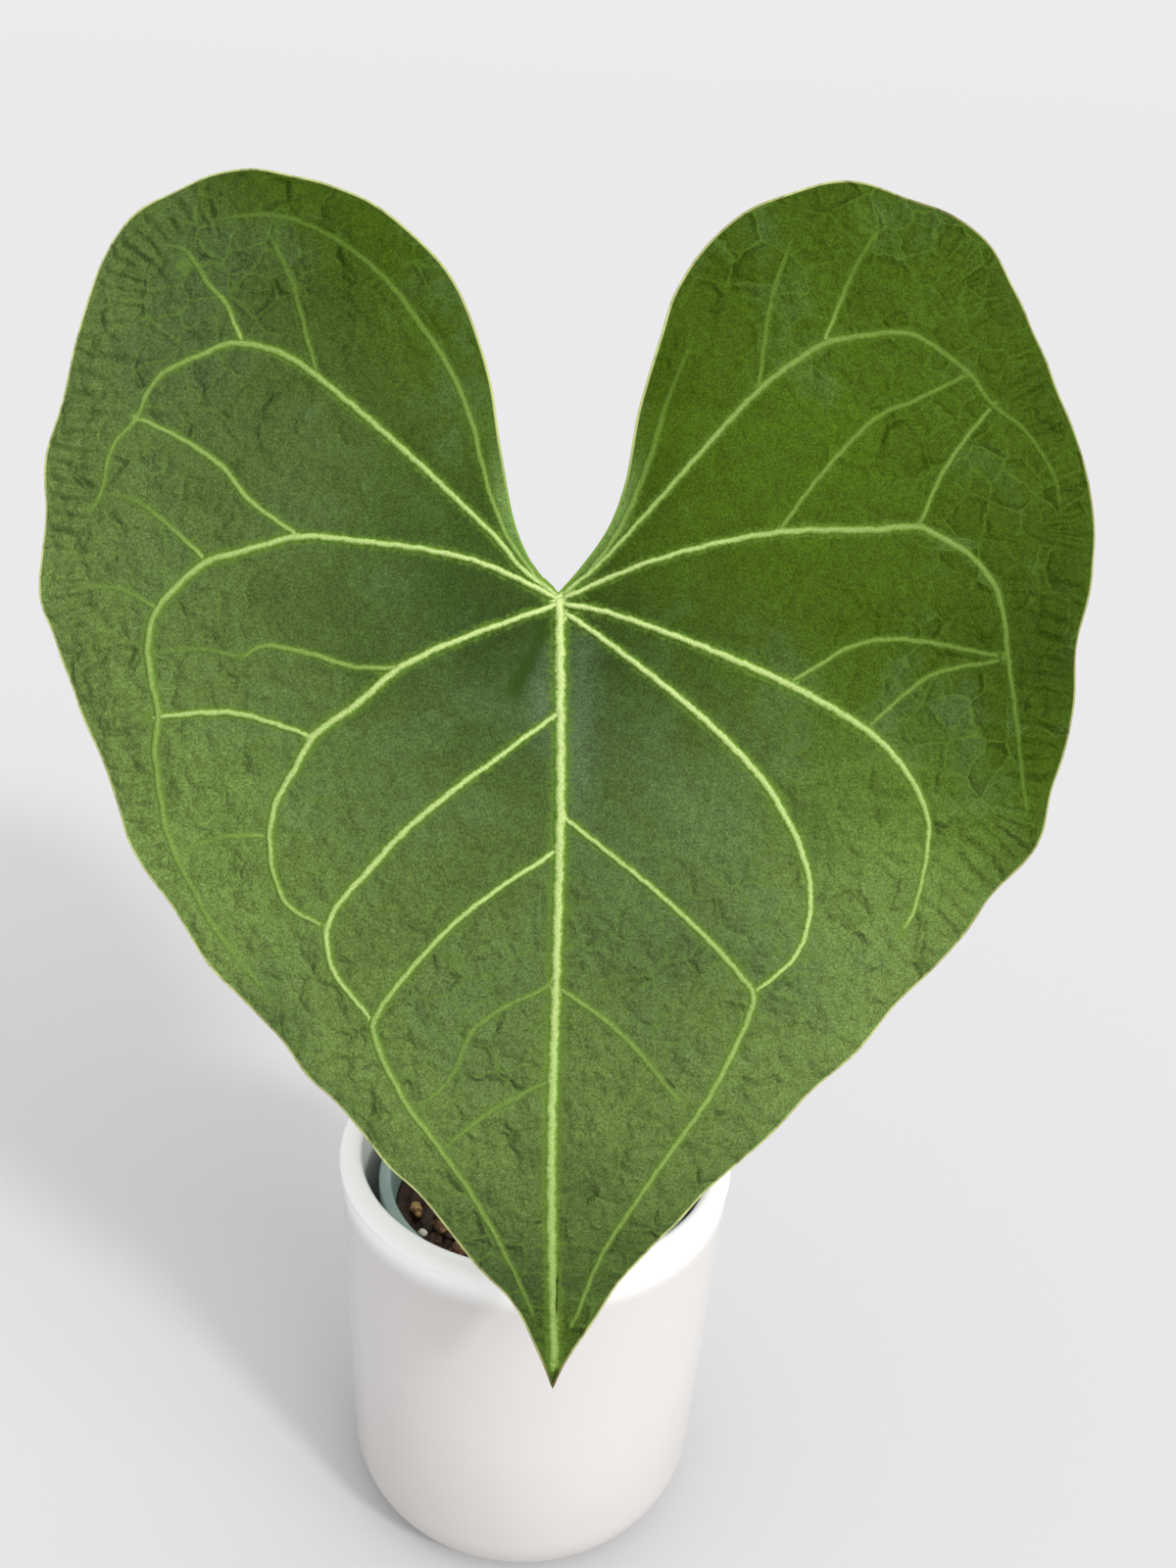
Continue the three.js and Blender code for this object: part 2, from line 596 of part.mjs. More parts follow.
function seatPad([u, v]) {
  const distance = Math.hypot(u - PETIOLE_SEAT.x, v - PETIOLE_SEAT.y);
  return SEAT_PAD_HEIGHT * (1 - THREE.MathUtils.smoothstep(distance, 0.7 * SEAT_PAD_RADIUS, SEAT_PAD_RADIUS));
}

function bladeGeometry() {
  const flat = bladePoints();
  const triangles = triangulated(flat);
  const upper = [];
  const lower = [];
  flat.forEach((point) => {
    const [u, v] = point;
    const relief = veinRelief(point);
    const normal = bladeNormalAt(u, v);
    const under = Math.max(UNDERSIDE_SHARE * relief, seatPad(point));
    const middle = bladePoint(u, v, marginLift(point));
    upper.push(middle.clone().addScaledVector(normal, BLADE_THICKNESS / 2 + relief).toArray());
    lower.push(middle.clone().addScaledVector(normal, -BLADE_THICKNESS / 2 - under).toArray());
  });
  const count = flat.length;
  const faces = [];
  const edges = new Map();
  triangles.forEach(([a, b, c]) => {
    faces.push([a, b, c], [a + count, c + count, b + count]);
    [[a, b], [b, c], [c, a]].forEach(([from, to]) => {
      if (!edges.delete(`${to} ${from}`)) edges.set(`${from} ${to}`, [from, to]);
    });
  });
  edges.forEach(([from, to]) => {
    faces.push([from + count, to + count, to], [from + count, to, from]);
  });
  return welded(geometryFrom([...upper, ...lower], faces));
}

// Petiole: from the crown up behind the blade, bent over at its swollen top to the sinus.

function petioleGeometry() {
  const seatNormal = bladeNormalAt(PETIOLE_SEAT.x, PETIOLE_SEAT.y);
  const standOff = BLADE_THICKNESS / 2 + SEAT_PAD_HEIGHT + SEAT_GAP;
  const seat = bladePoint(PETIOLE_SEAT.x, PETIOLE_SEAT.y).addScaledVector(seatNormal, -standOff);
  const back = seat.clone().addScaledVector(seatNormal, -7);
  const foot = new THREE.Vector3(0, CROWN_CENTRE_Y, CROWN_TOP_Z + SEAT_GAP);
  const curve = new THREE.CatmullRomCurve3([
    foot,
    foot.clone().add(new THREE.Vector3(0, 0, 4)),
    ...PETIOLE_ROUTE.map((point) => new THREE.Vector3(...point)),
    back,
    seat,
  ], false, 'centripetal');
  const length = curve.getLength();
  const radiusAt = (share) => {
    const fromFoot = share * length;
    const fromTop = (1 - share) * length;
    const flare = (PETIOLE_BASE_RADIUS - PETIOLE_RADIUS) * Math.exp(-((fromFoot / 9) ** 2));
    const swell = THREE.MathUtils.smoothstep(GENICULUM_LENGTH + 6 - fromTop, 0, 8);
    return PETIOLE_RADIUS + flare + (GENICULUM_RADIUS - PETIOLE_RADIUS) * swell;
  };
  return lofted(curve, radiusAt, PETIOLE_SIDES, PETIOLE_STEPS);
}

// Assembly

function piece(name, geometry, finishName) {
  const mesh = new THREE.Mesh(geometry, finish(finishName));
  mesh.name = name;
  return mesh;
}

const plant = new THREE.Group();
plant.add(
  piece('cachepot', cachepotGeometry(), 'glaze'),
  piece('nursery_pot', nurseryPotGeometry(), 'thinPlastic'),
  piece('potting_mix', pottingMixGeometry(), 'mix'),
  piece('stem_crown', stemCrownGeometry(), 'crown'),
  piece('petiole', petioleGeometry(), 'petiole'),
  piece('leaf_blade', bladeGeometry(), 'blade'),
);

export default plant;
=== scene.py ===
"""A potted Anthurium clarinervium with one grown leaf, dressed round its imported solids."""

import math

import bpy
import numpy as np
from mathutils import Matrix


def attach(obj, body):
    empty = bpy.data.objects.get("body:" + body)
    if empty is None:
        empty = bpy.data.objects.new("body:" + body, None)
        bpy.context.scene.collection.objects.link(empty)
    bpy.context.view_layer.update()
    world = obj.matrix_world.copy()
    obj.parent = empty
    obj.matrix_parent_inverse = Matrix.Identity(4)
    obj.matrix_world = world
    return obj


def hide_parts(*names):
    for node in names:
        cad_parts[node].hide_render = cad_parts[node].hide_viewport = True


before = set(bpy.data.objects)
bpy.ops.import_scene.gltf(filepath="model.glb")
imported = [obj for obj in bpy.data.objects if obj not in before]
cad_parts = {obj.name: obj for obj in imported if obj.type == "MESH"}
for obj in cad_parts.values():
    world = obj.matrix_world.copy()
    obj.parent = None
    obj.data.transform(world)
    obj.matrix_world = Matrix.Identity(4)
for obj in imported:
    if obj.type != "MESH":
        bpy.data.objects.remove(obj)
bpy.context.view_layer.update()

scene = bpy.context.scene


# Studio: a pale matt floor that runs on under a pale sky, brightest overhead, and a small key
# light inside a broad softbox at the front right, which throw the plant's shadow back to the
# left. Each has its strength and its width in degrees. The camera looks down on the leaf's face.

SKY = "#e9e9e9"
SKY_LOW = 1.01
SKY_HIGH = 1.35
FLOOR_PAPER = "#c8c8ca"
FLOOR_REACH = 60.0
LIGHTS = {"key": (1.3, 7.0), "softbox": (1.15, 45.0)}
LIGHT_COLOUR = "#fffefb"
LIGHT_BEARING = -47.0
LIGHT_HEIGHT = 33.0
CAMERA_PLACE = (0.0, -0.38193, 0.43422)
CAMERA_TURN = (65.565, -3.329, 0.155)
CAMERA_LENS = 33.727
CAMERA_SENSOR = 36.0


def linear(hex_colour):
    """Linear colour of an sRGB hex value: c / 12.92 when dark, else ((c + 0.055) / 1.055) ^ 2.4."""
    channels = np.array([int(hex_colour[i:i + 2], 16) / 255 for i in (1, 3, 5)])
    toned = np.where(channels <= 0.04045, channels / 12.92, ((channels + 0.055) / 1.055) ** 2.4)
    return (*toned.tolist(), 1.0)


def add(tree, kind, inputs=None, **settings):
    """Add a node with its settings, then set or link each of its inputs, by name or by place."""
    made = tree.nodes.new(kind)
    for name, value in settings.items():
        setattr(made, name, value)
    for name, value in (inputs or {}).items():
        if isinstance(value, bpy.types.NodeSocket):
            tree.links.new(value, made.inputs[name])
        else:
            made.inputs[name].default_value = value
    return made


def finish(name):
    """A new material and its empty node tree."""
    material = bpy.data.materials.new(name)
    material.use_nodes = True
    material.node_tree.nodes.clear()
    return material, material.node_tree


def squares(rows, columns, round_columns=False):
    """Triangles of a rows x columns grid of points counted row by row. The square from (i, j) to
    (i + 1, j + 1) gives two. With round_columns the last column joins the first."""
    i = np.arange(rows - 1)[:, None]
    j = np.arange(columns if round_columns else columns - 1)[None, :]
    here = i * columns + j
    beside = i * columns + (j + 1) % columns
    first = np.stack([here, beside, beside + columns], axis=-1)
    second = np.stack([here, beside + columns, here + columns], axis=-1)
    return np.concatenate([first.reshape(-1, 3), second.reshape(-1, 3)])


def joined(shells):
    """One (points, triangles, marks) from several, each one's corner numbers moved on by the
    points before it, and its marks laid end to end."""
    counts = [len(points) for points, _, _ in shells]
    starts = np.cumsum([0] + counts[:-1])
    points = np.concatenate([points for points, _, _ in shells])
    triangles = np.concatenate([faces + start for (_, faces, _), start in zip(shells, starts)])
    marks = {name: np.concatenate([marks[name] for _, _, marks in shells]) for name in shells[0][2]}
    return points, triangles, marks


def piece(name, points, triangles, material, marks=None):
    """A mesh object on the root body, from points in millimetres. Points that coincide are merged
    and triangles left without area are dropped, which closes seams and poles. Each mark is one
    number a point, kept as an attribute."""
    kept, first, number = np.unique(
        np.round(points, 4), axis=0, return_index=True, return_inverse=True
    )
    faces = number.reshape(-1)[triangles]
    a, b, c = faces.T
    faces = faces[(a != b) & (b != c) & (c != a)].astype(np.int32)
    mesh = bpy.data.meshes.new(name)
    mesh.vertices.add(len(kept))
    mesh.vertices.foreach_set("co", (kept / 1000).astype(np.float32).ravel())
    mesh.loops.add(faces.size)
    mesh.loops.foreach_set("vertex_index", faces.ravel())
    mesh.polygons.add(len(faces))
    mesh.polygons.foreach_set("loop_start", np.arange(0, faces.size, 3, dtype=np.int32))
    mesh.polygons.foreach_set("use_smooth", np.ones(len(faces), dtype=bool))
    for mark, values in (marks or {}).items():
        attribute = mesh.attributes.new(mark, "FLOAT", "POINT")
        attribute.data.foreach_set("value", values[first].astype(np.float32))
    mesh.update(calc_edges=True)
    mesh.validate()
    mesh.materials.append(material)
    made = bpy.data.objects.new(name, mesh)
    scene.collection.objects.link(made)
    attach(made, "root")
    return made


paper, tree = finish("matt_paper")
shader = add(tree, "ShaderNodeBsdfPrincipled", {
    "Base Color": linear(FLOOR_PAPER), "Roughness": 1.0, "Specular IOR Level": 0.0,
})
add(tree, "ShaderNodeOutputMaterial", {"Surface": shader.outputs[0]})
corners = FLOOR_REACH * np.array([[-1, -1, 0], [1, -1, 0], [1, 1, 0], [-1, 1, 0]])
floor_mesh = bpy.data.meshes.new("floor")
floor_mesh.from_pydata(corners.tolist(), [], [(0, 1, 2, 3)])
floor_mesh.materials.append(paper)
floor = bpy.data.objects.new("floor", floor_mesh)
scene.collection.objects.link(floor)

world = bpy.data.worlds.new("even_sky")
world.use_nodes = True
world.node_tree.nodes.clear()
tree = world.node_tree
direction = add(tree, "ShaderNodeTexCoord").outputs["Generated"]
height = add(tree, "ShaderNodeSeparateXYZ", {0: direction}).outputs["Z"]
brightness = add(tree, "ShaderNodeMapRange", {"Value": height, "To Min": SKY_LOW, "To Max": SKY_HIGH})
sky = add(tree, "ShaderNodeBackground", {"Color": linear(SKY), "Strength": brightness.outputs[0]})
add(tree, "ShaderNodeOutputWorld", {"Surface": sky.outputs[0]})
scene.world = world

for name, (strength, width) in LIGHTS.items():
    light = bpy.data.lights.new(name, "SUN")
    light.energy = strength
    light.color = linear(LIGHT_COLOUR)[:3]
    light.angle = math.radians(width)
    lamp = bpy.data.objects.new(name, light)
    lamp.rotation_euler = (math.radians(90 - LIGHT_HEIGHT), 0, math.radians(LIGHT_BEARING + 90))
    scene.collection.objects.link(lamp)

camera = bpy.data.cameras.new("camera")
camera.sensor_fit = "VERTICAL"
camera.sensor_height = CAMERA_SENSOR
camera.lens = CAMERA_LENS
camera.clip_start = 0.01
camera.clip_end = 200
viewer = bpy.data.objects.new("camera", camera)
viewer.location = CAMERA_PLACE
viewer.rotation_euler = [math.radians(angle) for angle in CAMERA_TURN]
scene.collection.objects.link(viewer)
scene.camera = viewer
scene.view_settings.view_transform = "Standard"


# Cachepot: stoneware thrown on a wheel, dipped in an opaque white glaze and fired. The wall
# tapers a little to a well-rounded base, the rim is rolled, and the flat foot is wiped bare of
# glaze so that the pot doesn't stick to the kiln shelf.

POT_HEIGHT = 135
RIM_RADIUS = 62.5
RIM_ROUND = 3.5
BODY_TOP_RADIUS = 61.8
BODY_BOTTOM_RADIUS = 58
BASE_ROUND = 20
FOOT_RADIUS = 36
FOOT_STEP = 1
POT_WALL = 6.4
POT_FLOOR = 6
POT_SIDES = 192
PROFILE_STEP = 2.5
GLAZE_LIT_WHITE = "#f6f6f6"
GLAZE_MILK = "#cbc8c6"
GLAZE_WARM_SHADED = "#bfbab6"
BARE_CLAY = "#c9b79c"
GLAZE_IOR = 1.5


def arc(centre_radius, centre_height, radius, start, end, count):
    """Profile points on an arc: the centre plus radius x (cos, sin) of even angles in degrees."""
    angles = np.radians(np.linspace(start, end, count))
    return np.stack([centre_radius + radius * np.cos(angles),
                     centre_height + radius * np.sin(angles)], axis=1)


def stepped(profile, step):
    """A profile with points added on its long straight stretches, at most a step apart."""
    profile = np.array(profile, float)
    parts = [np.linspace(start, end, max(1, math.ceil(math.dist(start, end) / step)), endpoint=False)
             for start, end in zip(profile[:-1], profile[1:])]
    return np.concatenate(parts + [profile[-1:]])


def turned(profile, sides):
    """A profile of [radius, height] turned round the Z axis: (r cos a, r sin a, height). It runs
    up the outside and down the inside."""
    angles = 2 * np.pi * np.arange(sides) / sides
    radius, height = np.array(profile, float).T[:, :, None]
    points = np.stack([radius * np.cos(angles), radius * np.sin(angles),
                       height + 0 * angles], axis=-1)
    return points.reshape(-1, 3), squares(len(profile), sides, round_columns=True)


inner_round = BASE_ROUND - POT_WALL
rim_centre = RIM_RADIUS - RIM_ROUND
pot_profile = np.concatenate([
    [[0, 0], [FOOT_RADIUS, 0], [FOOT_RADIUS + 0.3, 0.2], [FOOT_RADIUS + FOOT_STEP, FOOT_STEP]],
    arc(BODY_BOTTOM_RADIUS - BASE_ROUND, BASE_ROUND + FOOT_STEP / 2, BASE_ROUND, -82, 0, 22),
    [[BODY_TOP_RADIUS, POT_HEIGHT - 3.4 * RIM_ROUND], [BODY_TOP_RADIUS, POT_HEIGHT - 2.5 * RIM_ROUND]],
    arc(rim_centre, POT_HEIGHT - RIM_ROUND, RIM_ROUND, -30, 186, 26),
    [[BODY_TOP_RADIUS - POT_WALL, POT_HEIGHT - 2.3 * RIM_ROUND]],
    arc(BODY_BOTTOM_RADIUS - POT_WALL - inner_round, POT_FLOOR + inner_round, inner_round, 0, -90, 12),
    [[0, POT_FLOOR]],
])

glaze, tree = finish("white_glazed_stoneware")
place = add(tree, "ShaderNodeTexCoord").outputs["Object"]
# The glaze is warmer and darker towards the foot, in clouds a few centimetres across, partly its own
# tone and partly painted shade, and painted light makes it whitest on the rim and on the inner wall.
clouds = add(tree, "ShaderNodeTexNoise", {"Vector": place, "Scale": 22.0, "Detail": 3.0})
height = add(tree, "ShaderNodeSeparateXYZ", {0: place}).outputs["Z"]
cloud_height = add(tree, "ShaderNodeMath", {
    0: clouds.outputs["Fac"], 1: 0.04, 2: height,
}, operation="MULTIPLY_ADD")
# Painted shade, with some real warmth: the glaze goes over to the warm darker colour towards the foot.
raised = add(tree, "ShaderNodeMapRange", {
    "Value": cloud_height.outputs[0], "From Min": 0.02, "From Max": 0.09,
}, interpolation_type="SMOOTHSTEP")
body_glaze_and_foot_shade = add(tree, "ShaderNodeMix", {
    0: raised.outputs[0], 6: linear(GLAZE_WARM_SHADED), 7: linear(GLAZE_MILK),
}, data_type="RGBA")
# Painted light: the rim, which faces the sky, and the shaded inner wall between the pots are mixed to the
# lit white.
painted_rim_light = add(tree, "ShaderNodeMapRange", {
    "Value": height, "From Min": 0.12, "From Max": 0.13,
}, interpolation_type="SMOOTHSTEP")
from_axis = add(tree, "ShaderNodeVectorMath", {
    0: add(tree, "ShaderNodeVectorMath", {0: place, 1: (1.0, 1.0, 0.0)}, operation="MULTIPLY").outputs[0],
}, operation="LENGTH").outputs["Value"]
inside = add(tree, "ShaderNodeMapRange", {"Value": from_axis, "From Min": 0.0574, "From Max": 0.0562})
above_base = add(tree, "ShaderNodeMapRange", {"Value": height, "From Min": 0.025, "From Max": 0.03})
painted_inner_light = add(tree, "ShaderNodeMath", {
    0: inside.outputs[0], 1: above_base.outputs[0],
}, operation="MULTIPLY")
painted_light_share = add(tree, "ShaderNodeMath", {
    0: painted_rim_light.outputs[0], 1: painted_inner_light.outputs[0],
}, operation="MAXIMUM")
glazed = add(tree, "ShaderNodeMix", {
    0: painted_light_share.outputs[0], 6: body_glaze_and_foot_shade.outputs[2], 7: linear(GLAZE_LIT_WHITE),
}, data_type="RGBA")
bare = add(tree, "ShaderNodeMapRange", {
    "Value": height, "From Min": 0.0014, "From Max": 0.0008,
})
clay = add(tree, "ShaderNodeMix", {
    0: bare.outputs[0], 6: glazed.outputs[2], 7: linear(BARE_CLAY),
}, data_type="RGBA")
dullness = add(tree, "ShaderNodeMapRange", {"Value": bare.outputs[0], "To Min": 0.3, "To Max": 0.85})
# Throwing rings about 11 mm apart, softened by the glaze, with a faint orange-peel on top.
squeezed = add(tree, "ShaderNodeMapping", {"Vector": place, "Scale": (6.0, 6.0, 90.0)})
rings = add(tree, "ShaderNodeTexNoise", {"Vector": squeezed.outputs[0], "Scale": 1.0, "Detail": 1.0})
peel = add(tree, "ShaderNodeTexNoise", {"Vector": place, "Scale": 420.0, "Detail": 2.0})
ringed = add(tree, "ShaderNodeBump", {
    "Height": rings.outputs["Fac"], "Strength": 0.25, "Distance": 0.0006,
})
peeled = add(tree, "ShaderNodeBump", {
    "Height": peel.outputs["Fac"], "Strength": 0.12, "Distance": 0.0002, "Normal": ringed.outputs[0],
})
shader = add(tree, "ShaderNodeBsdfPrincipled", {
    "Base Color": clay.outputs[2], "Roughness": dullness.outputs[0], "Normal": peeled.outputs[0],
    "IOR": GLAZE_IOR, "Coat Weight": 0.25, "Coat Roughness": 0.12, "Coat IOR": GLAZE_IOR,
})
add(tree, "ShaderNodeOutputMaterial", {"Surface": shader.outputs[0]})

cachepot = piece("glazed_cachepot", *turned(stepped(pot_profile, PROFILE_STEP), POT_SIDES), glaze)
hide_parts("cachepot")


# Nursery pot: thin polypropylene, injection moulded, with a turned-out lip and five round drain
# holes. It stands on the cachepot's floor and lifts out for watering.

CLEARANCE = 0.3
NURSERY_FLOOR_Z = POT_FLOOR + CLEARANCE
NURSERY_RIM_Z = 122
NURSERY_LIP_RADIUS = 50.2
NURSERY_LIP_DROP = 3.6
NURSERY_TOP_RADIUS = 47.6
NURSERY_BOTTOM_RADIUS = 35
NURSERY_WALL = 1.2
NURSERY_SIDES = 144
LIP_EDGE = 0.6
DRAIN_HOLES = 5
DRAIN_RADIUS = 4
DRAIN_CIRCLE = 22
DRAIN_SIDES = 48
PLASTIC_TEAL = "#98afa9"
PLASTIC_SHADE = "#748e87"
PLASTIC_IOR = 1.49


def nursery_radius(height):
    """Outer radius of the nursery pot's wall: a straight taper from its floor to its rim."""
    share = (height - NURSERY_FLOOR_Z) / (NURSERY_RIM_Z - NURSERY_FLOOR_Z)
    return NURSERY_BOTTOM_RADIUS + (NURSERY_TOP_RADIUS - NURSERY_BOTTOM_RADIUS) * share


plastic, tree = finish("moulded_polypropylene")
place = add(tree, "ShaderNodeTexCoord").outputs["Object"]
# The wall is see-through enough that damp mix shows as darker clouds through it.
damp = add(tree, "ShaderNodeTexNoise", {"Vector": place, "Scale": 60.0, "Detail": 2.0})
tint = add(tree, "ShaderNodeMix", {
    0: damp.outputs["Fac"], 6: linear(PLASTIC_SHADE), 7: linear(PLASTIC_TEAL),
}, data_type="RGBA")
scuffs = add(tree, "ShaderNodeTexNoise", {"Vector": place, "Scale": 900.0, "Detail": 2.0})
scuffed = add(tree, "ShaderNodeMapRange", {"Value": scuffs.outputs["Fac"], "To Min": 0.3, "To Max": 0.45})
grain = add(tree, "ShaderNodeBump", {
    "Height": scuffs.outputs["Fac"], "Strength": 0.2, "Distance": 0.0001,
})
shader = add(tree, "ShaderNodeBsdfPrincipled", {
    "Base Color": tint.outputs[2], "Roughness": scuffed.outputs[0], "Normal": grain.outputs[0],
    "IOR": PLASTIC_IOR,
})
add(tree, "ShaderNodeOutputMaterial", {"Surface": shader.outputs[0]})

lip_under = NURSERY_RIM_Z - NURSERY_LIP_DROP
inner_lip = NURSERY_LIP_RADIUS - NURSERY_WALL
inside_floor = NURSERY_FLOOR_Z + NURSERY_WALL
wall_profile = [
    [0, NURSERY_FLOOR_Z],
    [NURSERY_BOTTOM_RADIUS - LIP_EDGE, NURSERY_FLOOR_Z],
    [nursery_radius(NURSERY_FLOOR_Z + LIP_EDGE), NURSERY_FLOOR_Z + LIP_EDGE],
    [nursery_radius(lip_under + 2), lip_under + 2],
    [inner_lip, lip_under + 2],
    [inner_lip, lip_under],
    [NURSERY_LIP_RADIUS - LIP_EDGE / 3, lip_under],
    [NURSERY_LIP_RADIUS, lip_under + LIP_EDGE / 3],
    *arc(NURSERY_LIP_RADIUS - LIP_EDGE, NURSERY_RIM_Z - LIP_EDGE, LIP_EDGE, 0, 90, 6),
    [NURSERY_TOP_RADIUS - NURSERY_WALL + LIP_EDGE, NURSERY_RIM_Z],
    [NURSERY_TOP_RADIUS - NURSERY_WALL, NURSERY_RIM_Z - LIP_EDGE],
    [nursery_radius(inside_floor) - NURSERY_WALL, inside_floor],
    [0, inside_floor],
]
nursery_pot = piece(
    "moulded_nursery_pot", *turned(stepped(wall_profile, PROFILE_STEP), NURSERY_SIDES), plastic
)

# The drain holes are five round pins cut out of the floor.
pin_points, pin_faces = turned([
    [0, NURSERY_FLOOR_Z - 2], [DRAIN_RADIUS, NURSERY_FLOOR_Z - 2],
    [DRAIN_RADIUS, inside_floor + 2], [0, inside_floor + 2],
], DRAIN_SIDES)
bearings = 2 * np.pi * np.arange(DRAIN_HOLES) / DRAIN_HOLES
pins = joined([
    (pin_points + DRAIN_CIRCLE * np.array([math.cos(bearing), math.sin(bearing), 0]), pin_faces, {})
    for bearing in bearings
])
cutter = piece("drain_pins", *pins[:2], plastic)
holes = nursery_pot.modifiers.new("drain_holes", "BOOLEAN")
holes.object = cutter
drained = bpy.data.meshes.new_from_object(
    nursery_pot.evaluated_get(bpy.context.evaluated_depsgraph_get())
)
nursery_pot.modifiers.clear()
nursery_pot.data = drained
bpy.data.objects.remove(cutter)
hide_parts("nursery_pot")


# Potting mix: coarse bark, peat and a little perlite, tipped in round the root ball and
# firmed by hand. It is damp, so it is dark, and it fills the nursery pot to below its lip.

MIX_FLOOR_Z = NURSERY_FLOOR_Z + NURSERY_WALL + CLEARANCE
MIX_TOP_Z = 109
MIX_RELIEF = 1.5
MIX_RINGS = 60
MIX_SIDES = 180
CROWN_RADIUS = 7.5
CROWN_BOTTOM_Z = 84
CROWN_CENTRE = np.array([0.0, 3.0])
CROWN_HOLE_RADIUS = CROWN_RADIUS + CLEARANCE
BARK_CHIPS = 430
PERLITE_GRAINS = 26
FIBRES = 130
LUMP_ROWS = 5
LUMP_SIDES = 8
LUMP_POINTS = LUMP_ROWS * LUMP_SIDES
FIBRE_ROWS = 7
FIBRE_SIDES = 4
FIBRE_POINTS = FIBRE_ROWS * FIBRE_SIDES
FIBRE_RADIUS = 0.22
CRUMB_PEAT = "#1c130d"
CRUMB_BARK = "#5b3a22"
CRUMB_STRAW = "#a98a56"
PERLITE_WHITE = "#d8d3c6"
BARK_IOR = 1.45


def smoothstep(value, low, high):
    """0 below low, 1 above high, and 3 t^2 - 2 t^3 between them."""
    share = np.clip((value - low) / (high - low), 0, 1)
    return share * share * (3 - 2 * share)


def mix_radius(height):
    """Radius of the mix at a height: the nursery pot's less its wall and the clearance."""
    return nursery_radius(height) - NURSERY_WALL - CLEARANCE


def mix_relief(x, y):
    """Height of the mix over its level top: crossed waves that die out at the pot's wall."""
    fade = smoothstep(mix_radius(MIX_TOP_Z) - np.hypot(x, y), 0, 8)
    coarse = np.sin(0.31 * x + 1) * np.cos(0.27 * y)
    fine = np.sin(0.83 * x + 0.55 * y) * np.sin(0.7 * y - 0.4 * x + 2)
    crumbs = np.sin(2.3 * x + 1.7 * y) * np.sin(2.9 * y - 1.3 * x) * np.sin(3.7 * x + 0.4)
    return MIX_RELIEF * fade * (coarse + fine + 0.3 * crumbs)


def mix_plug():
    """The plug as rings: up the crown's hole from its floor, out over the top from the hole's
    edge to the wall, (1 - t) x hole + t x wall, then down the wall and in to the axis."""
    angles = 2 * np.pi * np.arange(MIX_SIDES) / MIX_SIDES
    around = np.stack([np.cos(angles), np.sin(angles)], axis=1)
    hole = CROWN_CENTRE + CROWN_HOLE_RADIUS * around
    rows = [np.column_stack([CROWN_CENTRE + 0 * around, np.full(MIX_SIDES, CROWN_BOTTOM_Z - CLEARANCE)]),
            np.column_stack([hole, np.full(MIX_SIDES, CROWN_BOTTOM_Z - CLEARANCE)])]
    for share in np.linspace(0, 1, MIX_RINGS):
        spot = (1 - share) * hole + share * mix_radius(MIX_TOP_Z) * around
        rows.append(np.column_stack([spot, MIX_TOP_Z + mix_relief(*spot.T)]))
    for height in np.linspace(MIX_TOP_Z - 3, MIX_FLOOR_Z, 20):
        rows.append(np.column_stack([mix_radius(height) * around, np.full(MIX_SIDES, height)]))
    rows.append(np.column_stack([0 * around, np.full(MIX_SIDES, MIX_FLOOR_Z)]))
    points = np.concatenate(rows)
    return points, squares(len(rows), MIX_SIDES, round_columns=True)[:, ::-1]


def scattered(draw, count, inner, outer):
    """Random spots on the mix, even over a ring whose middle lies 0.5 mm behind the axis, with the
    mix's height there."""
    reach = np.sqrt(draw.uniform(inner ** 2, outer ** 2, count))
    bearing = draw.uniform(0, 2 * np.pi, count)
    x, y = reach * np.cos(bearing), reach * np.sin(bearing) + 0.5
    return np.column_stack([x, y, MIX_TOP_Z + mix_relief(x, y)])


def lumps(draw, spots, half_sizes, tilt, roughness):
    """Closed lumps of 5 x 8 points: a boxy ball, each coordinate a sphere's to the power 0.7 with
    its sign kept, made uneven, scaled, turned at random and set at its spot."""
    count = len(spots)
    polar = np.linspace(0, np.pi, LUMP_ROWS)[:, None]
    round_angle = 2 * np.pi * np.arange(LUMP_SIDES) / LUMP_SIDES
    ball = np.stack([np.sin(polar) * np.cos(round_angle), np.sin(polar) * np.sin(round_angle),
                     np.cos(polar) + 0 * round_angle], axis=-1)
    ball = np.sign(ball) * np.abs(ball) ** 0.7
    uneven = 1 + roughness * draw.uniform(-1, 1, (count, LUMP_ROWS, LUMP_SIDES, 1))
    uneven[:, 0] = uneven[:, 0, :1]
    uneven[:, -1] = uneven[:, -1, :1]
    shape = ball * uneven * half_sizes[:, None, None, :]
    yaw = draw.uniform(0, 2 * np.pi, count)
    lean, roll = draw.uniform(-tilt, tilt, (2, count))
    one, none = np.ones(count), np.zeros(count)
    about_x = np.array([[one, none, none], [none, np.cos(roll), -np.sin(roll)],
                        [none, np.sin(roll), np.cos(roll)]])
    about_y = np.array([[np.cos(lean), none, np.sin(lean)], [none, one, none],
                        [-np.sin(lean), none, np.cos(lean)]])
    about_z = np.array([[np.cos(yaw), -np.sin(yaw), none], [np.sin(yaw), np.cos(yaw), none],
                        [none, none, one]])
    turn = np.einsum("ijn,jkn,kln->nil", about_z, about_y, about_x)
    points = np.einsum("nil,nabl->nabi", turn, shape) + spots[:, None, None, :]
    faces = squares(LUMP_ROWS, LUMP_SIDES, round_columns=True)[:, ::-1]
    numbers = faces[None] + LUMP_POINTS * np.arange(count)[:, None, None]
    return points.reshape(-1, 3), numbers.reshape(-1, 3)


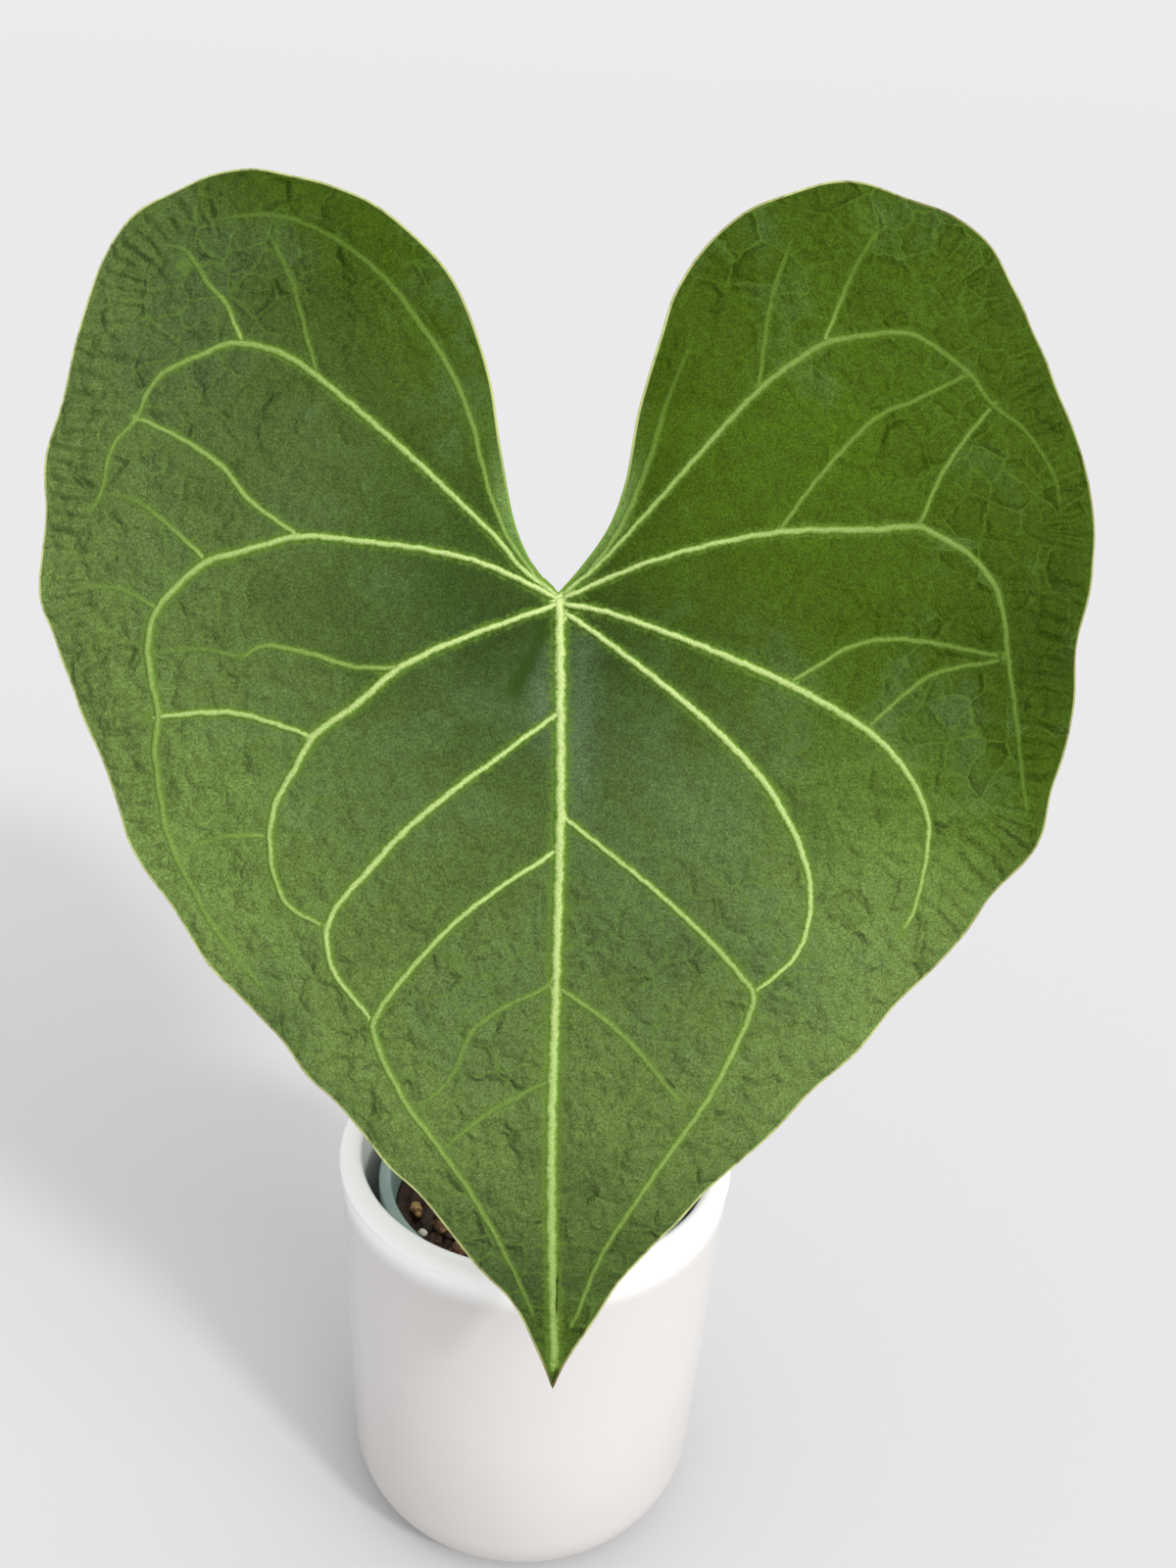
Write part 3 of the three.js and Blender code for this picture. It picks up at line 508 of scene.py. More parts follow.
def fibres(draw, spots):
    """Bent peat fibres: a parabola of 7 points from each spot, with a ring of 4 that closes to a
    point at both ends."""
    count = len(spots)
    share = np.linspace(0, 1, FIBRE_ROWS)[None, :, None]
    bearing = draw.uniform(0, 2 * np.pi, count)
    run = draw.uniform(4, 11, count)[:, None, None]
    way = np.column_stack([np.cos(bearing), np.sin(bearing), 0 * bearing])[:, None]
    side = np.column_stack([-np.sin(bearing), np.cos(bearing), 0 * bearing])[:, None]
    bend = draw.uniform(-2.5, 2.5, count)[:, None, None]
    rise = np.array([0, 0, 1.0]) * draw.uniform(0.3, 1.6, count)[:, None, None]
    arch = 4 * share * (1 - share)
    middle = spots[:, None] + way * run * (share - 0.5) + side * bend * arch + rise * arch
    thick = FIBRE_RADIUS * np.sqrt(np.clip(arch, 0, 1))[..., None, :]
    angles = 2 * np.pi / FIBRE_SIDES * np.arange(FIBRE_SIDES)[None, None, :, None]
    ring = side[:, :, None] * np.cos(angles) + np.array([0, 0, 1.0]) * np.sin(angles)
    points = middle[:, :, None] + thick * ring
    faces = squares(FIBRE_ROWS, FIBRE_SIDES, round_columns=True)
    numbers = faces[None] + FIBRE_POINTS * np.arange(count)[:, None, None]
    return points.reshape(-1, 3), numbers.reshape(-1, 3)


mix, tree = finish("damp_bark_mix")
place = add(tree, "ShaderNodeTexCoord").outputs["Object"]
tone = add(tree, "ShaderNodeAttribute", attribute_name="tone").outputs["Fac"]
# Crumbs of peat lie on the bark, about two millimetres across.
crumbs = add(tree, "ShaderNodeTexNoise", {"Vector": place, "Scale": 420.0, "Detail": 5.0})
mottled = add(tree, "ShaderNodeMath", {0: tone, 1: crumbs.outputs["Fac"]}, operation="MULTIPLY")
browned = add(tree, "ShaderNodeMapRange", {"Value": mottled.outputs[0], "From Min": 0.08, "From Max": 0.42})
bark = add(tree, "ShaderNodeMix", {
    0: browned.outputs[0], 6: linear(CRUMB_PEAT), 7: linear(CRUMB_BARK),
}, data_type="RGBA")
strawed = add(tree, "ShaderNodeMapRange", {"Value": mottled.outputs[0], "From Min": 0.42, "From Max": 0.6})
straw = add(tree, "ShaderNodeMix", {
    0: strawed.outputs[0], 6: bark.outputs[2], 7: linear(CRUMB_STRAW),
}, data_type="RGBA")
whitened = add(tree, "ShaderNodeMapRange", {"Value": tone, "From Min": 1.4, "From Max": 1.6})
perlite = add(tree, "ShaderNodeMix", {
    0: whitened.outputs[0], 6: straw.outputs[2], 7: linear(PERLITE_WHITE),
}, data_type="RGBA")
damp_sheen = add(tree, "ShaderNodeMapRange", {
    "Value": crumbs.outputs["Fac"], "To Min": 0.55, "To Max": 0.95,
})
crumbled = add(tree, "ShaderNodeBump", {
    "Height": crumbs.outputs["Fac"], "Strength": 0.8, "Distance": 0.0008,
})
shader = add(tree, "ShaderNodeBsdfPrincipled", {
    "Base Color": perlite.outputs[2], "Roughness": damp_sheen.outputs[0],
    "Normal": crumbled.outputs[0], "IOR": BARK_IOR,
})
add(tree, "ShaderNodeOutputMaterial", {"Surface": shader.outputs[0]})

draw = np.random.default_rng(7)
plug_points, plug_faces = mix_plug()
half_length = 1.6 + 4.2 * draw.random(BARK_CHIPS) ** 2
bark_sizes = np.column_stack([half_length, half_length * draw.uniform(0.45, 0.85, BARK_CHIPS),
                              half_length * draw.uniform(0.2, 0.45, BARK_CHIPS)])
bark_spots = scattered(draw, BARK_CHIPS, 10, mix_radius(MIX_TOP_Z) - 6)
bark_spots[:, 2] += 0.35 * bark_sizes[:, 2]
bark_tones = draw.choice([0.3, 0.5, 0.7, 0.85, 1.15], BARK_CHIPS, p=[0.3, 0.25, 0.2, 0.17, 0.08])
grain_sizes = draw.uniform(0.7, 1.5, (PERLITE_GRAINS, 1)) * np.ones(3)
fibre_tones = draw.choice([0.6, 0.9, 1.2], FIBRES)
bark_points, bark_faces = lumps(draw, bark_spots, bark_sizes, 0.45, 0.16)
grain_points, grain_faces = lumps(draw, scattered(draw, PERLITE_GRAINS, 10, 40), grain_sizes, 3, 0.12)
fibre_points, fibre_faces = fibres(draw, scattered(draw, FIBRES, 10, 38) + [0, 0, 0.8])
points, faces, marks = joined([
    (plug_points, plug_faces, {"tone": np.full(len(plug_points), 0.35)}),
    (bark_points, bark_faces, {"tone": np.repeat(bark_tones, LUMP_POINTS)}),
    (grain_points, grain_faces, {"tone": np.full(len(grain_points), 2.0)}),
    (fibre_points, fibre_faces, {"tone": np.repeat(fibre_tones, FIBRE_POINTS)}),
])
potting_mix = piece("bark_potting_mix", points, faces, mix, marks)
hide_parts("potting_mix")


# Stem crown: the plant's own short woody stem, ringed by the scars of fallen leaves, with
# papery brown cataphylls still clasping it where the living leaf stands.

CROWN_TOP_Z = 123
CROWN_PROFILE = [(84, 5.5), (92, 6.9), (111, 7.1), (115, 6.5), (120, 5.6), (123, 4.6)]
SCAR_STEP = 3.6
CATAPHYLLS = 3
CATAPHYLL_FOOT_Z = 112
CATAPHYLL_HALF_WIDTH = 3.5
CATAPHYLL_SHEET = 0.3
CROWN_SIDES = 72
CORE_ROWS = 130
SHEATH_ROWS = 60
SHEATH_SIDES = 40
BARK_BROWN = "#5c472a"
BARK_GREEN = "#6f7136"
PAPER_TAN = "#a98552"
PAPER_DARK = "#5e3f22"


def crown_core():
    """A turned core whose radius dips at each leaf scar, r x (1 - dip), the dips leaning round
    the stem so that the scars stand one above the other on turning sides."""
    heights = np.linspace(CROWN_BOTTOM_Z, CROWN_TOP_Z, CORE_ROWS)[:, None]
    angles = 2 * np.pi * np.arange(CROWN_SIDES) / CROWN_SIDES
    stem = np.interp(heights, *np.array(CROWN_PROFILE).T)
    phase = (heights - CROWN_BOTTOM_Z) / SCAR_STEP + 0.25 * np.sin(angles + 0.9 * heights / SCAR_STEP)
    dip = 0.09 * (0.5 + 0.5 * np.cos(2 * np.pi * phase)) ** 4
    ribs = 0.02 * np.sin(9 * angles + 0.3 * heights) + 0.015 * np.sin(17 * angles - 0.5 * heights)
    radius = stem * (1 - dip + ribs)
    rows = np.stack([radius * np.cos(angles), radius * np.sin(angles), heights + 0 * angles], axis=-1)
    ends = [np.zeros((1, CROWN_SIDES, 3)) + [0, 0, height] for height in (CROWN_BOTTOM_Z, CROWN_TOP_Z)]
    points = np.concatenate([ends[0], rows, ends[1]])
    return points.reshape(-1, 3), squares(CORE_ROWS + 2, CROWN_SIDES, round_columns=True)


def cataphyll(index):
    """A long pointed sheath: rings of a flattened ellipse bent round the stem, its half width
    w (1 - s^2.2) ^ 0.8 along the sheath, crinkled and curling out at the tip."""
    length = 24 - 5 * index
    tilt = 0.22 + 0.06 * index
    along = np.linspace(0, 1, SHEATH_ROWS)[:, None]
    round_angle = 2 * np.pi * np.arange(SHEATH_SIDES) / SHEATH_SIDES
    half_width = CATAPHYLL_HALF_WIDTH * np.clip(1 - along ** 2.2, 0, 1) ** 0.8
    across = half_width * np.cos(round_angle)
    crinkle = 0.16 * np.sin(8 * along + 1.9 * across) + 0.08 * np.sin(3.3 * across + 5 * index)
    wrap = -across ** 2 / 9
    out = CATAPHYLL_SHEET * np.sin(round_angle) * (half_width > 0) + wrap + crinkle * along
    out = out + 2.2 * along ** 3
    points = np.stack([across, out + 0.35, length * along + 0 * across], axis=-1)
    points[:, :, 1] += 0.25 * length * tilt * along
    points = np.concatenate([points[:1].mean(axis=1, keepdims=True) + 0 * points[:1], points])
    rise = np.array([[1, 0, 0], [0, math.cos(tilt), math.sin(tilt)], [0, -math.sin(tilt), math.cos(tilt)]])
    points = points @ rise.T + [0, CROWN_RADIUS - 2.4, CATAPHYLL_FOOT_Z]
    bearing = 0.9 + 2 * math.pi * index / CATAPHYLLS
    spin = np.array([[math.cos(bearing), -math.sin(bearing), 0],
                     [math.sin(bearing), math.cos(bearing), 0], [0, 0, 1]])
    return (points @ spin.T).reshape(-1, 3), squares(SHEATH_ROWS + 1, SHEATH_SIDES, round_columns=True)


woody, tree = finish("scarred_stem_bark")
place = add(tree, "ShaderNodeTexCoord").outputs["Object"]
papery = add(tree, "ShaderNodeAttribute", attribute_name="papery").outputs["Fac"]
# Fibres run up the stem and the sheaths, about half a millimetre apart.
upright = add(tree, "ShaderNodeMapping", {"Vector": place, "Scale": (1900.0, 1900.0, 160.0)})
strands = add(tree, "ShaderNodeTexNoise", {"Vector": upright.outputs[0], "Scale": 1.0, "Detail": 4.0})
patches = add(tree, "ShaderNodeTexNoise", {"Vector": place, "Scale": 260.0, "Detail": 3.0})
stem_tone = add(tree, "ShaderNodeMix", {
    0: patches.outputs["Fac"], 6: linear(BARK_BROWN), 7: linear(BARK_GREEN),
}, data_type="RGBA")
paper_tone = add(tree, "ShaderNodeMix", {
    0: strands.outputs["Fac"], 6: linear(PAPER_DARK), 7: linear(PAPER_TAN),
}, data_type="RGBA")
both = add(tree, "ShaderNodeMix", {
    0: papery, 6: stem_tone.outputs[2], 7: paper_tone.outputs[2],
}, data_type="RGBA")
stranded = add(tree, "ShaderNodeBump", {
    "Height": strands.outputs["Fac"], "Strength": 0.6, "Distance": 0.0004,
})
dry = add(tree, "ShaderNodeMapRange", {"Value": strands.outputs["Fac"], "To Min": 0.65, "To Max": 0.9})
shader = add(tree, "ShaderNodeBsdfPrincipled", {
    "Base Color": both.outputs[2], "Roughness": dry.outputs[0], "Normal": stranded.outputs[0],
    "IOR": BARK_IOR,
})
add(tree, "ShaderNodeOutputMaterial", {"Surface": shader.outputs[0]})

core_points, core_faces = crown_core()
sheaths = [cataphyll(index) for index in range(CATAPHYLLS)]
points, faces, marks = joined(
    [(core_points, core_faces, {"papery": np.zeros(len(core_points))})]
    + [(sheath, sheath_faces, {"papery": np.ones(len(sheath))}) for sheath, sheath_faces in sheaths]
)
stem_crown = piece("scarred_stem_crown", points + [*CROWN_CENTRE, 0], faces, woody, marks)
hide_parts("stem_crown")


# Leaf blade frame: flat blade coordinates, u to the right and v up the blade from the sinus, set
# on a plane that faces forward and a little up. The living blade arches along its midrib and
# across, and the midrib lies in a trough near the sinus. The petiole needs this before the blade.

SINUS_POINT = np.array([-2.0, -30.0, 326.0])
BLADE_SLOPE = 71.5
BLADE_LEAN = 2
ARCH_CREST = -90
ARCH_RADIUS_LOW = 520
ARCH_RADIUS_HIGH = 700
ARCH_LIFT = 11.3
CROSS_RADIUS = 560
TROUGH_DEPTH = 5.5
TROUGH_WIDTH = 20
TROUGH_LENGTH = 75
PETIOLE_SEAT = np.array([0.2, -5.0])

slope = math.radians(BLADE_SLOPE)
lean = math.radians(BLADE_LEAN)
blade_out = np.array([0, -math.sin(slope), math.cos(slope)])
up_slope = np.array([0, math.cos(slope), math.sin(slope)])
level = np.array([1.0, 0, 0])
blade_right = level * math.cos(lean) + up_slope * math.sin(lean)
blade_up = up_slope * math.cos(lean) - level * math.sin(lean)


def blade_stand_off(u, v):
    """Height over the flat frame: two parabolas along the midrib that meet at the crest, one
    across, less a bell-shaped trough."""
    along = ARCH_LIFT - np.minimum(v - ARCH_CREST, 0) ** 2 / (2 * ARCH_RADIUS_LOW)
    along = along - np.maximum(v - ARCH_CREST, 0) ** 2 / (2 * ARCH_RADIUS_HIGH)
    trough = TROUGH_DEPTH * np.exp(-(u / TROUGH_WIDTH) ** 2 - ((v + 5) / TROUGH_LENGTH) ** 2)
    return along - u ** 2 / (2 * CROSS_RADIUS) - trough


def blade_normal(u, v):
    """Unit normal of the stand-off surface, from its slopes either side of the point."""
    slope_u = blade_stand_off(u + 0.5, v) - blade_stand_off(u - 0.5, v)
    slope_v = blade_stand_off(u, v + 0.5) - blade_stand_off(u, v - 0.5)
    across = blade_out - slope_u[..., None] * blade_right - slope_v[..., None] * blade_up
    return across / np.linalg.norm(across, axis=-1, keepdims=True)


def blade_point(u, v, lift=0.0, offset=0.0):
    """Sinus point + u right + v up + (stand-off + lift) out + offset along the local normal."""
    height = blade_stand_off(u, v) + lift
    flat = SINUS_POINT + u[..., None] * blade_right + v[..., None] * blade_up
    return flat + height[..., None] * blade_out + np.asarray(offset)[..., None] * blade_normal(u, v)


def smooth_curve(knots, step):
    """Points a step apart on the centripetal Catmull-Rom curve through the knots: each stretch
    is a Hermite cubic whose end slopes weigh the chords on either side by the roots of their
    lengths."""
    knots = np.array(knots, float)
    ends = np.vstack([2 * knots[0] - knots[1], knots, 2 * knots[-1] - knots[-2]])
    gaps = np.linalg.norm(np.diff(ends, axis=0), axis=1)[:, None] ** 0.5
    p0, p1, p2, p3 = ends[:-3], ends[1:-2], ends[2:-1], ends[3:]
    g0, g1, g2 = gaps[:-2], gaps[1:-1], gaps[2:]
    leave = ((p1 - p0) / g0 - (p2 - p0) / (g0 + g1) + (p2 - p1) / g1) * g1
    arrive = ((p2 - p1) / g1 - (p3 - p1) / (g1 + g2) + (p3 - p2) / g2) * g1
    t = np.linspace(0, 1, 50, endpoint=False)[:, None, None]
    curve = ((2 * t ** 3 - 3 * t ** 2 + 1) * p1 + (t ** 3 - 2 * t ** 2 + t) * leave
             + (3 * t ** 2 - 2 * t ** 3) * p2 + (t ** 3 - t ** 2) * arrive)
    dense = np.vstack([curve.transpose(1, 0, 2).reshape(-1, knots.shape[1]), knots[-1:]])
    run = np.concatenate([[0], np.cumsum(np.linalg.norm(np.diff(dense, axis=0), axis=1))])
    places = np.linspace(0, run[-1], max(2, round(run[-1] / step) + 1))
    return np.stack([np.interp(places, run, dense[:, axis]) for axis in range(knots.shape[1])], axis=1)


# Petiole: the round green stalk that grew from the crown, bent over at its swollen top, the
# geniculum, which turns the blade to the light. It joins the blade's back just below the sinus.

PETIOLE_BASE_RADIUS = 4.1
PETIOLE_RADIUS = 2.7
GENICULUM_RADIUS = 3.4
GENICULUM_LENGTH = 20
PETIOLE_ROUTE = [
    (0, 4.5, 140), (0.5, 10, 175), (0.5, 14, 215), (-0.2, 13.5, 252), (-1, 7, 283), (-1.6, -6, 306),
]
PETIOLE_STEP = 0.8
PETIOLE_SIDES = 48
FOOT_SUNK = 0.4
FOOT_RISE = 4.7
FLARE_LENGTH = 9
SEAT_DEPTH = 2.2
SEAT_APPROACH = 7.6
SPREAD_RADIUS = 1.6
SPREAD_LENGTH = 1.6
WRINKLE_DEPTH = 0.05
WRINKLE_STEP = 1.9
STALK_IOR = 1.42
STALK_GREEN = "#5f7a33"
STALK_PALE = "#8a9c56"
STALK_FLECK = "#a9b57c"


def tube(path, radii, sides, ridges=None):
    """A tube along a path: rings of radius x (cos a side + sin a across), with across square to
    the path and to side, and side as near X as the path allows. Its ends are points. Ridges is a
    function of a that gives the share by which the radius grows there."""
    ahead = np.gradient(path, axis=0)
    ahead /= np.linalg.norm(ahead, axis=1, keepdims=True)
    side = level - (ahead @ level)[:, None] * ahead
    side /= np.linalg.norm(side, axis=1, keepdims=True)
    across = np.cross(ahead, side)
    angles = 2 * np.pi * np.arange(sides) / sides
    ring = (np.cos(angles)[None, :, None] * side[:, None] + np.sin(angles)[None, :, None] * across[:, None])
    reach = radii[:, None] * (1 + (ridges(angles) if ridges else 0))
    rows = path[:, None] + reach[..., None] * ring
    ends = [path[:1, None] + 0 * rows[:1], path[-1:, None] + 0 * rows[:1]]
    return np.concatenate([ends[0], rows, ends[1]]).reshape(-1, 3), len(path) + 2


stalk, tree = finish("living_green_stalk")
place = add(tree, "ShaderNodeTexCoord").outputs["Object"]
joint_share = add(tree, "ShaderNodeAttribute", attribute_name="geniculum").outputs["Fac"]
# Pale flecks two millimetres long, drawn out along the stalk, on a skin that is clouded pale and
# dark and paler at the swollen joint.
drawn_out = add(tree, "ShaderNodeMapping", {"Vector": place, "Scale": (1500.0, 1500.0, 420.0)})
flecks = add(tree, "ShaderNodeTexVoronoi", {"Vector": drawn_out.outputs[0], "Scale": 1.0})
flecked = add(tree, "ShaderNodeMapRange", {
    "Value": flecks.outputs["Distance"], "From Min": 0.34, "From Max": 0.16, "To Max": 0.75,
})
bloom = add(tree, "ShaderNodeTexNoise", {"Vector": place, "Scale": 55.0, "Detail": 3.0})
skin = add(tree, "ShaderNodeMix", {
    0: bloom.outputs["Fac"], 6: linear(STALK_GREEN), 7: linear(STALK_PALE),
}, data_type="RGBA")
jointed = add(tree, "ShaderNodeMix", {
    0: joint_share, 6: skin.outputs[2], 7: linear(STALK_PALE),
}, data_type="RGBA")
marked = add(tree, "ShaderNodeMix", {
    0: flecked.outputs[0], 6: jointed.outputs[2], 7: linear(STALK_FLECK),
}, data_type="RGBA")
fleck_skin = add(tree, "ShaderNodeBump", {
    "Height": flecked.outputs[0], "Strength": 0.35, "Distance": 0.00012,
})
satin = add(tree, "ShaderNodeMapRange", {"Value": bloom.outputs["Fac"], "To Min": 0.42, "To Max": 0.58})
shader = add(tree, "ShaderNodeBsdfPrincipled", {
    "Base Color": marked.outputs[2], "Roughness": satin.outputs[0], "Normal": fleck_skin.outputs[0],
    "IOR": STALK_IOR,
})
add(tree, "ShaderNodeOutputMaterial", {"Surface": shader.outputs[0]})

seat_out = blade_normal(*PETIOLE_SEAT)
seat = blade_point(*PETIOLE_SEAT) - SEAT_DEPTH * seat_out
foot = np.array([*CROWN_CENTRE, CROWN_TOP_Z - FOOT_SUNK])
petiole_path = smooth_curve([
    foot, foot + [0, 0, FOOT_RISE], *PETIOLE_ROUTE, seat - SEAT_APPROACH * seat_out, seat,
], PETIOLE_STEP)
petiole_length = PETIOLE_STEP * (len(petiole_path) - 1)
from_foot = PETIOLE_STEP * np.arange(len(petiole_path))
from_top = petiole_length - from_foot
flare = (PETIOLE_BASE_RADIUS - PETIOLE_RADIUS) * np.exp(-(from_foot / FLARE_LENGTH) ** 2)
swelling = smoothstep(GENICULUM_LENGTH + 6 - from_top, 0, 8)
crinkle = np.sin(2 * np.pi * from_top / WRINKLE_STEP + 0.8 * np.sin(from_top))
wrinkles = WRINKLE_DEPTH * swelling * crinkle
spread = SPREAD_RADIUS * np.exp(-(from_top / SPREAD_LENGTH) ** 2)
petiole_radii = (PETIOLE_RADIUS + flare + (GENICULUM_RADIUS - PETIOLE_RADIUS) * swelling
                 + wrinkles + spread)
petiole_points, petiole_rows = tube(
    petiole_path, petiole_radii, PETIOLE_SIDES, lambda angles: 0.012 * np.sin(7 * angles)
)
petiole = piece(
    "green_petiole", petiole_points, squares(petiole_rows, PETIOLE_SIDES, round_columns=True), stalk,
    {"geniculum": np.repeat(np.concatenate([swelling[:1], swelling, swelling[-1:]]), PETIOLE_SIDES)},
)
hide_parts("petiole")


# Leaf blade: one thin leathery heart, velvety above and paler below, with its main veins raised
# on both faces and a net of veinlets between them that puckers the blade into small facets. A
# pale cartilage edge runs right round it and turns brown at the drip tip.

LEFT_MARGIN = [
    (0, 0), (-6, 6), (-11, 16), (-15, 35), (-18.5, 54), (-26, 74), (-33, 84), (-44.5, 94),
    (-58, 101.5), (-79, 106), (-94, 104.5), (-110.5, 94.5), (-119, 84), (-124, 64),
    (-130.5, 34), (-131.5, 14), (-131, -4), (-127, -16), (-118, -35.5), (-110, -55),
    (-106.5, -64.5), (-94, -83.5), (-78, -103), (-68, -112.5), (-60, -122.5), (-42, -142.5),
    (-15.5, -174.5), (-7.5, -185.5), (-0.7, -199.5), (2.4, -210),
]
RIGHT_MARGIN = [
    (0, 0), (5.5, 6.5), (12, 16), (16, 27), (19, 45), (24.5, 65), (27.5, 75), (33.5, 85.5),
    (44, 96), (55.5, 102.5), (68, 106.5), (83.5, 105.5), (100, 99.5), (112.5, 90), (121.5, 70),
    (131, 50), (137, 30), (139, 19), (137.5, 9), (134.5, -7), (133.5, -21), (130, -40),
    (124, -60.5), (116, -70.5), (99, -90.5), (71, -120.5), (50.5, -141.5), (30, -163),
    (21.5, -174), (14, -185.5), (6.8, -198.5), (2.4, -210),
]

# Each vein: its crest height at root and end, how pale it is at root and end, then its route.
VEINS = [
    (1.3, 0.4, 1.0, 0.35, [(0.3, -0.6), (1.5, -51), (1, -146), (2.8, -202)]),
    (0.7, 0.1, 0.4, 0.0, [(-2.5, 0.6), (-7.6, 6), (-12.3, 12.5), (-16.2, 20.5), (-19, 29), (-22.5, 42),
                          (-28.5, 55.5), (-34.5, 64), (-41, 73), (-49, 81), (-58, 87.5),
                          (-64.5, 91), (-72, 93.5), (-89, 93)]),
    (0.9, 0.2, 0.8, 0.14, [(0.3, -0.8), (-9.5, 6), (-17, 14.5), (-58.5, 50.5), (-70, 58), (-80.5, 60.5),
                           (-85.5, 60), (-92, 57), (-100, 53.5), (-104.5, 48), (-107, 42), (-113, 34.5),
                           (-115.5, 23), (-118.5, 18)]),
    (1.1, 0.2, 1.0, 0.05, [(0.3, -1.4), (-18, 6.5), (-30.5, 9.5), (-51, 11.8), (-63.5, 12.5), (-77, 9),
                          (-88, 5.5), (-95, -0.5), (-100, -6.5), (-102, -13), (-101.5, -20.5), (-99, -32.5),
                          (-100, -40), (-97.5, -57), (-94, -68), (-86, -82.5), (-70.5, -102)]),
    (1.1, 0.4, 1.0, 0.35, [(0.4, -2.4), (-22, -11), (-37.5, -18.5), (-50, -29), (-59.5, -36.5), (-64, -44.5),
                           (-69, -54), (-70, -65), (-66, -77.5), (-56, -83.5)]),
    (0.8, 0.4, 0.75, 0.5, [(1, -29), (-33, -55.5), (-45, -68.5), (-55, -81.5), (-54.5, -93),
                           (-44, -107)]),
    (0.7, 0.3, 0.75, 0.12, [(1, -63), (-22, -79.5), (-42, -103), (-44, -108.5), (-37.5, -125),
                            (-27, -140), (-12.5, -164), (-3, -187)]),
    (0.4, 0.2, 0.2, 0.1, [(1, -96), (-18.5, -107.5), (-24.5, -120.5), (-32, -128.5)]),
    (0.3, 0.2, 0.15, 0.1, [(1, -120.5), (-14, -129), (-26, -139)]),
    (0.7, 0.1, 0.4, 0.0, [(3, 0.8), (7.2, 5.2), (12, 11.5), (17, 20.5), (22, 34), (26, 48), (32, 63.5)]),
    (0.9, 0.1, 0.6, 0.0, [(0.5, -0.8), (9.5, 7), (21.5, 20), (48.5, 51), (65, 63.5), (74, 66), (87.5, 67.5),
                           (93.5, 65), (98, 62), (103.5, 58), (109, 51), (119, 44), (126.5, 32.5),
                           (129, 23.5)]),
    (1.1, 0.1, 0.85, 0.0, [(0.5, -1.4), (25, 9), (53.5, 16), (78.5, 17.5), (90, 18.5), (96, 16),
                            (103.5, 12), (110, 4.5), (112.5, -2), (114.5, -15.5), (117.5, -34), (121, -54)]),
    (1.1, 0.4, 1.0, 0.35, [(0.6, -2.4), (12.5, -4.5), (38.5, -13.5), (60, -22.5), (81.5, -35.5),
                           (90, -46), (94, -55.5), (91.5, -75.5), (88, -83.5)]),
    (0.9, 0.4, 0.95, 0.5, [(0.9, -4.2), (10, -10), (38, -31.5), (50.5, -44), (58.5, -56), (63.5, -68.5),
                           (64, -78.5), (61, -88.5), (50.5, -98)]),
    (0.7, 0.3, 0.7, 0.15, [(1, -54), (28.5, -75), (47.5, -94), (50.5, -98.5), (43, -119.5),
                           (16.5, -164), (7, -189)]),
    (0.4, 0.2, 0.3, 0.15, [(1, -96.5), (16.5, -107.5), (34.5, -128)]),
    (0.3, 0.1, 0.2, 0.0, [(-61, 53), (-65, 66), (-68.5, 77), (-76, 90.5)]),
    (0.5, 0.1, 0.45, 0.0, [(-80, 60.5), (-85.5, 71.5), (-89.5, 75.5), (-93, 81), (-97.5, 85.5), (-102, 86)]),
    (0.4, 0.2, 0.4, 0.3, [(-64, 12.5), (-77, 21.5), (-83.5, 29), (-94, 36), (-108, 42.5)]),
    (0.4, 0.1, 0.45, 0.0, [(-87.5, 6.5), (-99, 16), (-106.5, 21), (-115.5, 23)]),
    (0.3, 0.1, 0.25, 0.0, [(-98.5, -6.5), (-110, -1), (-121, -0.5)]),
    (0.4, 0.2, 0.35, 0.2, [(-38, -19), (-50, -19), (-61, -16), (-73, -14.5), (-78, -17.5)]),
    (0.2, 0.1, 0.1, 0.0, [(-78, -17.5), (-88, -15.5), (-102, -17)]),
    (0.5, 0.3, 0.5, 0.5, [(-59.5, -36.5), (-69, -33.5), (-80.5, -31), (-102.3, -33)]),
    (0.4, 0.1, 0.3, 0.0, [(-70.5, -61), (-82.5, -62), (-94.5, -66.5)]),
    (0.3, 0.1, 0.15, 0.0, [(48.5, 51), (52, 75), (57, 90)]),
    (0.4, 0.1, 0.3, 0.0, [(65, 63.5), (73.5, 84), (79.5, 93.5)]),
    (0.3, 0.2, 0.2, 0.1, [(54, 16), (61, 26), (70.5, 37.5), (78.5, 45.5), (90, 51), (103, 58)]),
    (0.3, 0.2, 0.2, 0.15, [(90, 18.5), (95.5, 31.5), (103.5, 43), (110.5, 51)]),
    (0.4, 0.1, 0.3, 0.1, [(57, -21), (66, -15.5), (73, -11.5), (84, -9.5), (114, -13.5)]),
    (0.3, 0.1, 0.2, 0.1, [(77, -32), (93.5, -18.5), (114.5, -14)]),
]
MIDRIB_EXTRA = 0.65
VEIN_HALF_WIDTH = 0.36
VEIN_WIDENING = 0.5
VEIN_BEND_EXTRA = 0.3
VEIN_STEP = 1.6
VEIN_WOBBLE = 0.12
VEIN_FADE = 0.6
UNDER_VEIN_STEP = 2.6
UNDERSIDE_SHARE = 1.4

BLADE_HALF_SHEET = 0.45
EDGE_HALF_SHEET = 0.34
EDGE_BEAD = 0.22
EDGE_POINTS = 7
MARGIN_STEP = 3.4
MARGIN_WAVE = 1.4
MARGIN_WAVE_LENGTH = 34
MARGIN_WAVE_REACH = 13
MARGIN_DROOP = 1.2
MARGIN_RIPPLE = 0.3
SEAT_PAD_RADIUS = 6
SEAT_PAD_HEIGHT = 2

